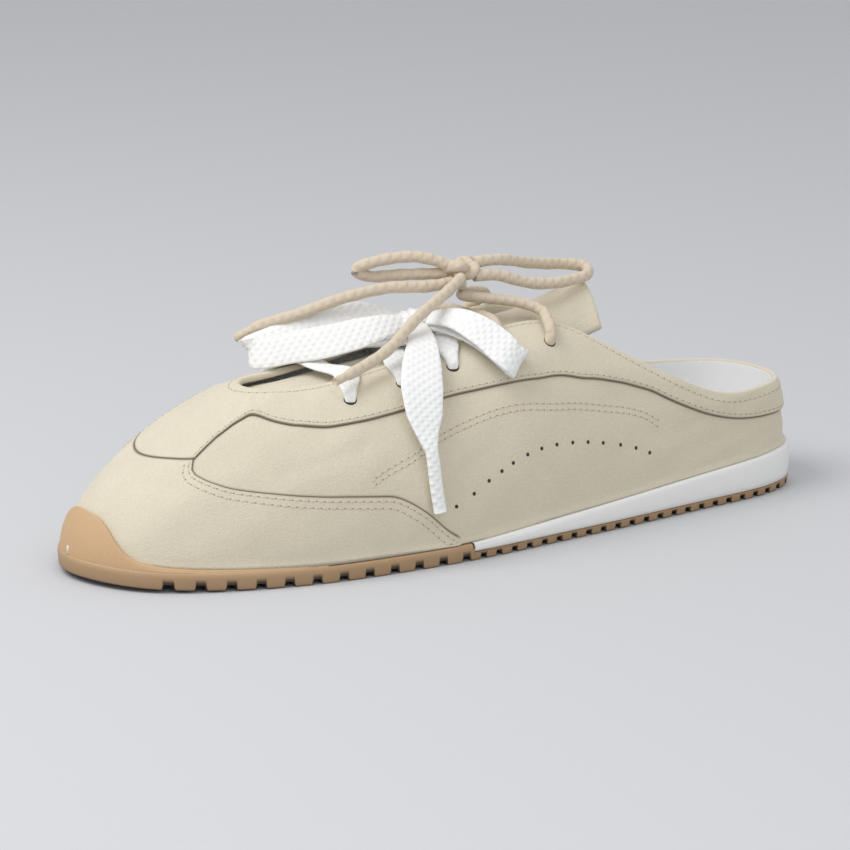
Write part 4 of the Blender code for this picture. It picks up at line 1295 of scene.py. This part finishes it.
def make_white_bars(width, thickness):
    """The lower bar and the crossing: flat laces through the eyelets, narrow in each hole."""
    cotton = make_materials()["cotton"]
    outer, inner = eyelet_places()
    runs = (
        ("white_bar", outer[0], inner[0], 0.0012, 0.0),
        ("white_cross_one", outer[1], inner[2], 0.0012, -0.0012),
        ("white_cross_two", outer[2], inner[1], 0.0012, 0.0002),
    )
    made = []
    for name, first, second, lift, rise in runs:
        route, facing = over_throat(first, second, lift, rise)
        path, knots, at = smooth_route(route, 0.0012)
        normal = open_spline(knots, facing, at)
        across = np.cross(normal, np.gradient(path, axis=0))
        in_hole = [0.003, 0.0034, 0.6 * width]
        spans = np.array(in_hole + [width] * 5 + in_hole[::-1])
        wide = np.interp(at, knots, spans)
        thick = np.interp(wide, [0.0035, 0.008], [0.0026, thickness])
        made.append(tube(name, path, wide, thick, across, cotton, square=3.2, sides=20))
    finish_piece(made[0], "white_cotton", "white_lace_bar")
    finish_piece(made[1], "white_cotton", "white_lace_cross")
    finish_piece(made[2], "white_cotton")


def make_white_knot():
    """A pinched wrap: an ellipsoid whose face is pleated along the wrap and drawn in at both sides."""
    place, radii = (np.array(part) / 1000 for part in WHITE_KNOT)
    u = np.arange(96) / 96 * 2 * math.pi
    v = np.linspace(0.04, math.pi - 0.04, 48)
    u, v = u[:, None], v[None]
    pleat = 1 + 0.035 * np.cos(v * 14 + 0.9 * np.sin(u * 2)) + 0.06 * np.cos(u * 3 + v * 2)
    size = pleat * (1 - 0.1 * np.exp(-((v - 1.1) ** 2) / 0.02))
    x = np.cos(v) * radii[0] * size * 1.04
    y = np.sin(v) ** 0.7 * np.cos(u) * radii[1] * size
    z = np.sin(v) ** 0.7 * np.sin(u) * radii[2] * size
    points = np.stack(np.broadcast_arrays(x, y, z), -1) + place + HEEL
    quads = grid_quads(96, 48, close_rows=True)
    caps = [np.arange(96) * 48, (np.arange(96) * 48 + 47)[::-1]]
    made = lay_mesh("white_knot", points.reshape(-1, 3), quads, make_materials()["cotton"], caps)
    add_uv(made, np.stack(np.broadcast_arrays(u * 0.006, v * 0.004), -1).reshape(-1, 2))
    finish_piece(made, "white_cotton", "white_lace_knot")


def make_beige_laces(diameter):
    """Round laces: loops and ends of the upper bow, and the runs over the throat below it."""
    cord = make_materials()["cord"]
    for name, rows in BEIGE_ROUTES.items():
        route = placed(rows)
        route[0] = meet(BEIGE_KNOT, route[0], 0.0012)
        if "loop" in name:
            route[-1] = meet(BEIGE_KNOT, route[-1], 0.0012)
        path, _, _ = smooth_route(route, 0.0008)
        far = np.linspace(0, 1, len(path))
        wide = diameter * (1 + 0.04 * np.sin(far * 60))
        if "end" in name:
            wide = wide * (1 - 0.25 * smooth_step(far, 0.90, 0.93))
        facing = np.tile((0.1, 0.2, 1.0), (len(path), 1))
        made = tube(name + "_cord", path, wide, wide * 0.92, facing, cord, sides=16)
        declare(made, path, diameter, "object" if "loop" in name else "bare", "beige_cord", name)
    outer, inner = eyelet_places()
    runs = (("beige_bar", "beige_lace_bar", 3, None), ("beige_tie", "beige_lace_tie", 4, TIE_TOP))
    for name, node_name, k, top in runs:
        route, _ = over_throat(outer[k], inner[k], 0.0025, 0.001)
        if top:
            route[5] = placed(top)
        path, _, _ = smooth_route(route, 0.0008)
        facing = np.tile((1.0, 0.1, 0.2), (len(path), 1))
        made = tube(name, path, diameter, diameter * 0.92, facing, cord, sides=16)
        finish_piece(made, "beige_cord", node_name)


def make_beige_knot(diameter):
    """The cord drawn into a trefoil: a closed loop that passes over itself three times."""
    place, radii = (np.array(part) / 1000 for part in BEIGE_KNOT)
    t = np.arange(180) / 180 * 2 * math.pi
    x = (np.sin(t) + 1.6 * np.sin(2 * t)) / 2.6 * (radii[0] - diameter * 0.42)
    z = (np.cos(t) - 1.6 * np.cos(2 * t)) / 2.6 * (radii[2] - diameter * 0.42)
    y = -np.sin(3 * t) * (radii[1] - diameter * 0.5) * 0.75
    path = np.stack([x, y, z], 1)
    along = np.roll(path, -1, 0) - np.roll(path, 1, 0)
    along /= np.linalg.norm(along, axis=1, keepdims=True)
    side = np.cross(along, (0.0, 1.0, 0.0))
    side /= np.linalg.norm(side, axis=1, keepdims=True)
    up = np.cross(along, side)
    angle = np.arange(16) / 16 * 2 * math.pi
    round_ = (side[:, None] * np.cos(angle)[None, :, None] + up[:, None] * np.sin(angle)[None, :, None])
    points = path[:, None] + round_ * diameter * 0.5 + place + HEEL
    quads = grid_quads(180, 16, close_rows=True, close_columns=True, flip=True)
    made = lay_mesh("beige_knot", points.reshape(-1, 3), quads, make_materials()["cord"])
    uv = np.stack(np.broadcast_arrays(t[:, None] * 0.008, np.cos(angle)[None] * diameter / 2), -1)
    add_uv(made, uv.reshape(-1, 2))
    finish_piece(made, "beige_cord", "beige_lace_knot")


# Stage


def area_light(name, place, target, size, power, colour=(1, 1, 1)):
    light = bpy.data.lights.new(name, "AREA")
    light.shape = "RECTANGLE"
    light.size, light.size_y = size
    light.energy = power
    light.color = colour
    made = bpy.data.objects.new(name, light)
    bpy.context.scene.collection.objects.link(made)
    made.location = place
    made.rotation_euler = (Vector(target) - Vector(place)).to_track_quat("-Z", "Y").to_euler()


def make_stage(floor_colour, lens):
    """Pale floor, soft lights and the camera at the photograph's place and height."""
    mesh = bpy.data.meshes.new("floor")
    angle = np.arange(64) / 64 * 2 * math.pi
    points = np.stack([np.cos(angle) * 9, np.sin(angle) * 9, 0 * angle], 1)
    mesh.from_pydata(points.tolist(), [], [list(range(64))])
    floor = bpy.data.objects.new("floor", mesh)
    bpy.context.scene.collection.objects.link(floor)
    surface, _, shader = new_material("pale floor", floor_colour[:3], 0.75)
    shader.inputs["Specular IOR Level"].default_value = 0.25
    mesh.materials.append(surface)
    world = bpy.data.worlds.new("studio")
    bpy.context.scene.world = world
    world.use_nodes = True
    world.node_tree.nodes["Background"].inputs[0].default_value = (0.98, 0.985, 1.0, 1)
    world.node_tree.nodes["Background"].inputs[1].default_value = 0.62
    area_light("key", (0.75, -0.10, 1.05), (0, 0, 0.03), (0.8, 0.8), 9)
    area_light("fill", (0.2, 0.9, 0.9), (0, 0, 0.03), (1.0, 1.0), 2.5)
    data = bpy.data.cameras.new("camera")
    data.lens = lens
    data.sensor_width = 36
    data.clip_start, data.clip_end = 0.05, 50
    camera = bpy.data.objects.new("camera", data)
    bpy.context.scene.collection.objects.link(camera)
    camera.location = CAMERA_PLACE
    forward = Vector(CAMERA_AIM).normalized()
    right = forward.cross(Vector(CAMERA_UP)).normalized()
    camera.rotation_euler = Matrix((right, right.cross(forward), -forward)).transposed().to_euler()
    bpy.context.scene.camera = camera
    bpy.context.scene.view_settings.view_transform = "Standard"


# Add-on


class MuleSizes(bpy.types.PropertyGroup):
    """Sizes a user would change."""

    overlay: bpy.props.FloatProperty(
        name="Overlay", description="How far the side panel lies below the overlays", default=0.0008,
        unit="LENGTH", precision=4,
    )
    stitch_pitch: bpy.props.FloatProperty(
        name="Stitch", description="Length of one stitch", default=0.0026, unit="LENGTH", precision=4
    )
    hole_radius: bpy.props.FloatProperty(
        name="Hole", description="Radius of the punched holes", default=0.00062, unit="LENGTH", precision=5
    )
    eyelet_radius: bpy.props.FloatProperty(
        name="Eyelet", description="Radius of an eyelet hole", default=0.0021, unit="LENGTH", precision=4
    )
    bar_width: bpy.props.FloatProperty(
        name="Bar width", description="Width of the flat lace over the throat", default=0.008,
        unit="LENGTH", precision=4,
    )
    ribbon: bpy.props.FloatProperty(
        name="Flat lace", description="Thickness of the flat lace", default=0.0014, unit="LENGTH", precision=4
    )
    cord: bpy.props.FloatProperty(
        name="Round lace", description="Diameter of the round lace", default=0.0038,
        unit="LENGTH", precision=4,
    )
    lens: bpy.props.FloatProperty(
        name="Lens", description="Focal length of the camera in millimetres", default=153.3
    )


class MuleColours(bpy.types.PropertyGroup):
    """Colours of the finishes."""

    suede: bpy.props.FloatVectorProperty(
        name="Suede", description="Colour of the suede", default=(0.69, 0.63, 0.49), subtype="COLOR"
    )
    gum: bpy.props.FloatVectorProperty(
        name="Gum", description="Colour of the gum rubber", default=(0.56, 0.365, 0.20), subtype="COLOR"
    )
    foam: bpy.props.FloatVectorProperty(
        name="Foam", description="Colour of the wedge", default=(0.86, 0.86, 0.84), subtype="COLOR"
    )
    lining: bpy.props.FloatVectorProperty(
        name="Lining", description="Colour of lining and footbed", default=(0.88, 0.88, 0.88), subtype="COLOR"
    )
    white_lace: bpy.props.FloatVectorProperty(
        name="White lace", description="Colour of the flat lace", default=(0.88, 0.88, 0.87), subtype="COLOR"
    )
    beige_lace: bpy.props.FloatVectorProperty(
        name="Beige lace", description="Colour of the round lace", default=(0.66, 0.56, 0.43), subtype="COLOR"
    )
    thread: bpy.props.FloatVectorProperty(
        name="Thread", description="Colour of the stitches", default=(0.66, 0.59, 0.46), subtype="COLOR"
    )
    floor: bpy.props.FloatVectorProperty(
        name="Floor", description="Colour of the floor", default=(0.60, 0.61, 0.63), subtype="COLOR"
    )


class MULE_OT_stage(bpy.types.Operator):
    """Makes the floor, the lights and the camera."""

    bl_idname = "mule.stage"
    bl_label = "Stage"

    def execute(self, context):
        make_stage(context.scene.mule_colours.floor, context.scene.mule_sizes.lens)
        return {"FINISHED"}


class MULE_OT_white_laces(bpy.types.Operator):
    """Makes the flat white lace: bow, knot and the runs over the throat."""

    bl_idname = "mule.white_laces"
    bl_label = "White laces"

    def execute(self, context):
        sizes = context.scene.mule_sizes
        make_white_laces(sizes.ribbon)
        make_white_bars(sizes.bar_width, sizes.ribbon)
        make_white_knot()
        return {"FINISHED"}


class MULE_OT_beige_laces(bpy.types.Operator):
    """Makes the round beige lace: bow, knot and the runs over the throat."""

    bl_idname = "mule.beige_laces"
    bl_label = "Beige laces"

    def execute(self, context):
        make_beige_laces(context.scene.mule_sizes.cord)
        make_beige_knot(context.scene.mule_sizes.cord)
        return {"FINISHED"}


class MULE_OT_upper(bpy.types.Operator):
    """Makes the suede upper with its lining."""

    bl_idname = "mule.upper"
    bl_label = "Upper"

    def execute(self, context):
        make_upper(context.scene.mule_sizes.overlay)
        return {"FINISHED"}


class MULE_OT_stitches(bpy.types.Operator):
    """Makes the rows of stitches."""

    bl_idname = "mule.stitches"
    bl_label = "Stitches"

    def execute(self, context):
        sizes = context.scene.mule_sizes
        make_stitches(sizes.stitch_pitch, sizes.overlay)
        return {"FINISHED"}


class MULE_OT_holes(bpy.types.Operator):
    """Makes the punched holes and the eyelets."""

    bl_idname = "mule.holes"
    bl_label = "Holes"

    def execute(self, context):
        sizes = context.scene.mule_sizes
        make_holes(sizes.hole_radius, sizes.overlay)
        make_eyelets(sizes.eyelet_radius, sizes.overlay)
        return {"FINISHED"}


class MULE_OT_sole(bpy.types.Operator):
    """Makes the gum outsole with toe bumper, the white wedge and the footbed."""

    bl_idname = "mule.sole"
    bl_label = "Sole"

    def execute(self, context):
        make_outsole()
        make_bumper()
        make_midsole()
        make_insole()
        return {"FINISHED"}


class MULE_OT_tongue(bpy.types.Operator):
    """Makes the tongue."""

    bl_idname = "mule.tongue"
    bl_label = "Tongue"

    def execute(self, context):
        make_tongue()
        return {"FINISHED"}


OPERATORS = (
    MULE_OT_stage,
    MULE_OT_white_laces,
    MULE_OT_beige_laces,
    MULE_OT_upper,
    MULE_OT_stitches,
    MULE_OT_holes,
    MULE_OT_sole,
    MULE_OT_tongue,
)


class MULE_PT_panel(bpy.types.Panel):
    """Lists the steps in the 3D view's sidebar."""

    bl_idname = "MULE_PT_panel"
    bl_label = "Sneaker mule"
    bl_space_type = "VIEW_3D"
    bl_region_type = "UI"
    bl_category = "Mule"

    def draw(self, context):
        for operator in OPERATORS:
            self.layout.operator(operator.bl_idname)
        for group in (context.scene.mule_sizes, context.scene.mule_colours):
            for name in group.__annotations__:
                self.layout.prop(group, name)


CLASSES = (MuleSizes, MuleColours, *OPERATORS, MULE_PT_panel)


def register():
    for kind in CLASSES:
        bpy.utils.register_class(kind)
    bpy.types.Scene.mule_sizes = bpy.props.PointerProperty(type=MuleSizes)
    bpy.types.Scene.mule_colours = bpy.props.PointerProperty(type=MuleColours)


def unregister():
    del bpy.types.Scene.mule_sizes
    del bpy.types.Scene.mule_colours
    for kind in reversed(CLASSES):
        bpy.utils.unregister_class(kind)


def main():
    register()
    bpy.ops.mule.stage()
    bpy.ops.mule.white_laces()
    bpy.ops.mule.beige_laces()
    bpy.ops.mule.upper()
    bpy.ops.mule.stitches()
    bpy.ops.mule.holes()
    bpy.ops.mule.sole()
    bpy.ops.mule.tongue()


if __name__ == "__main__":
    main()
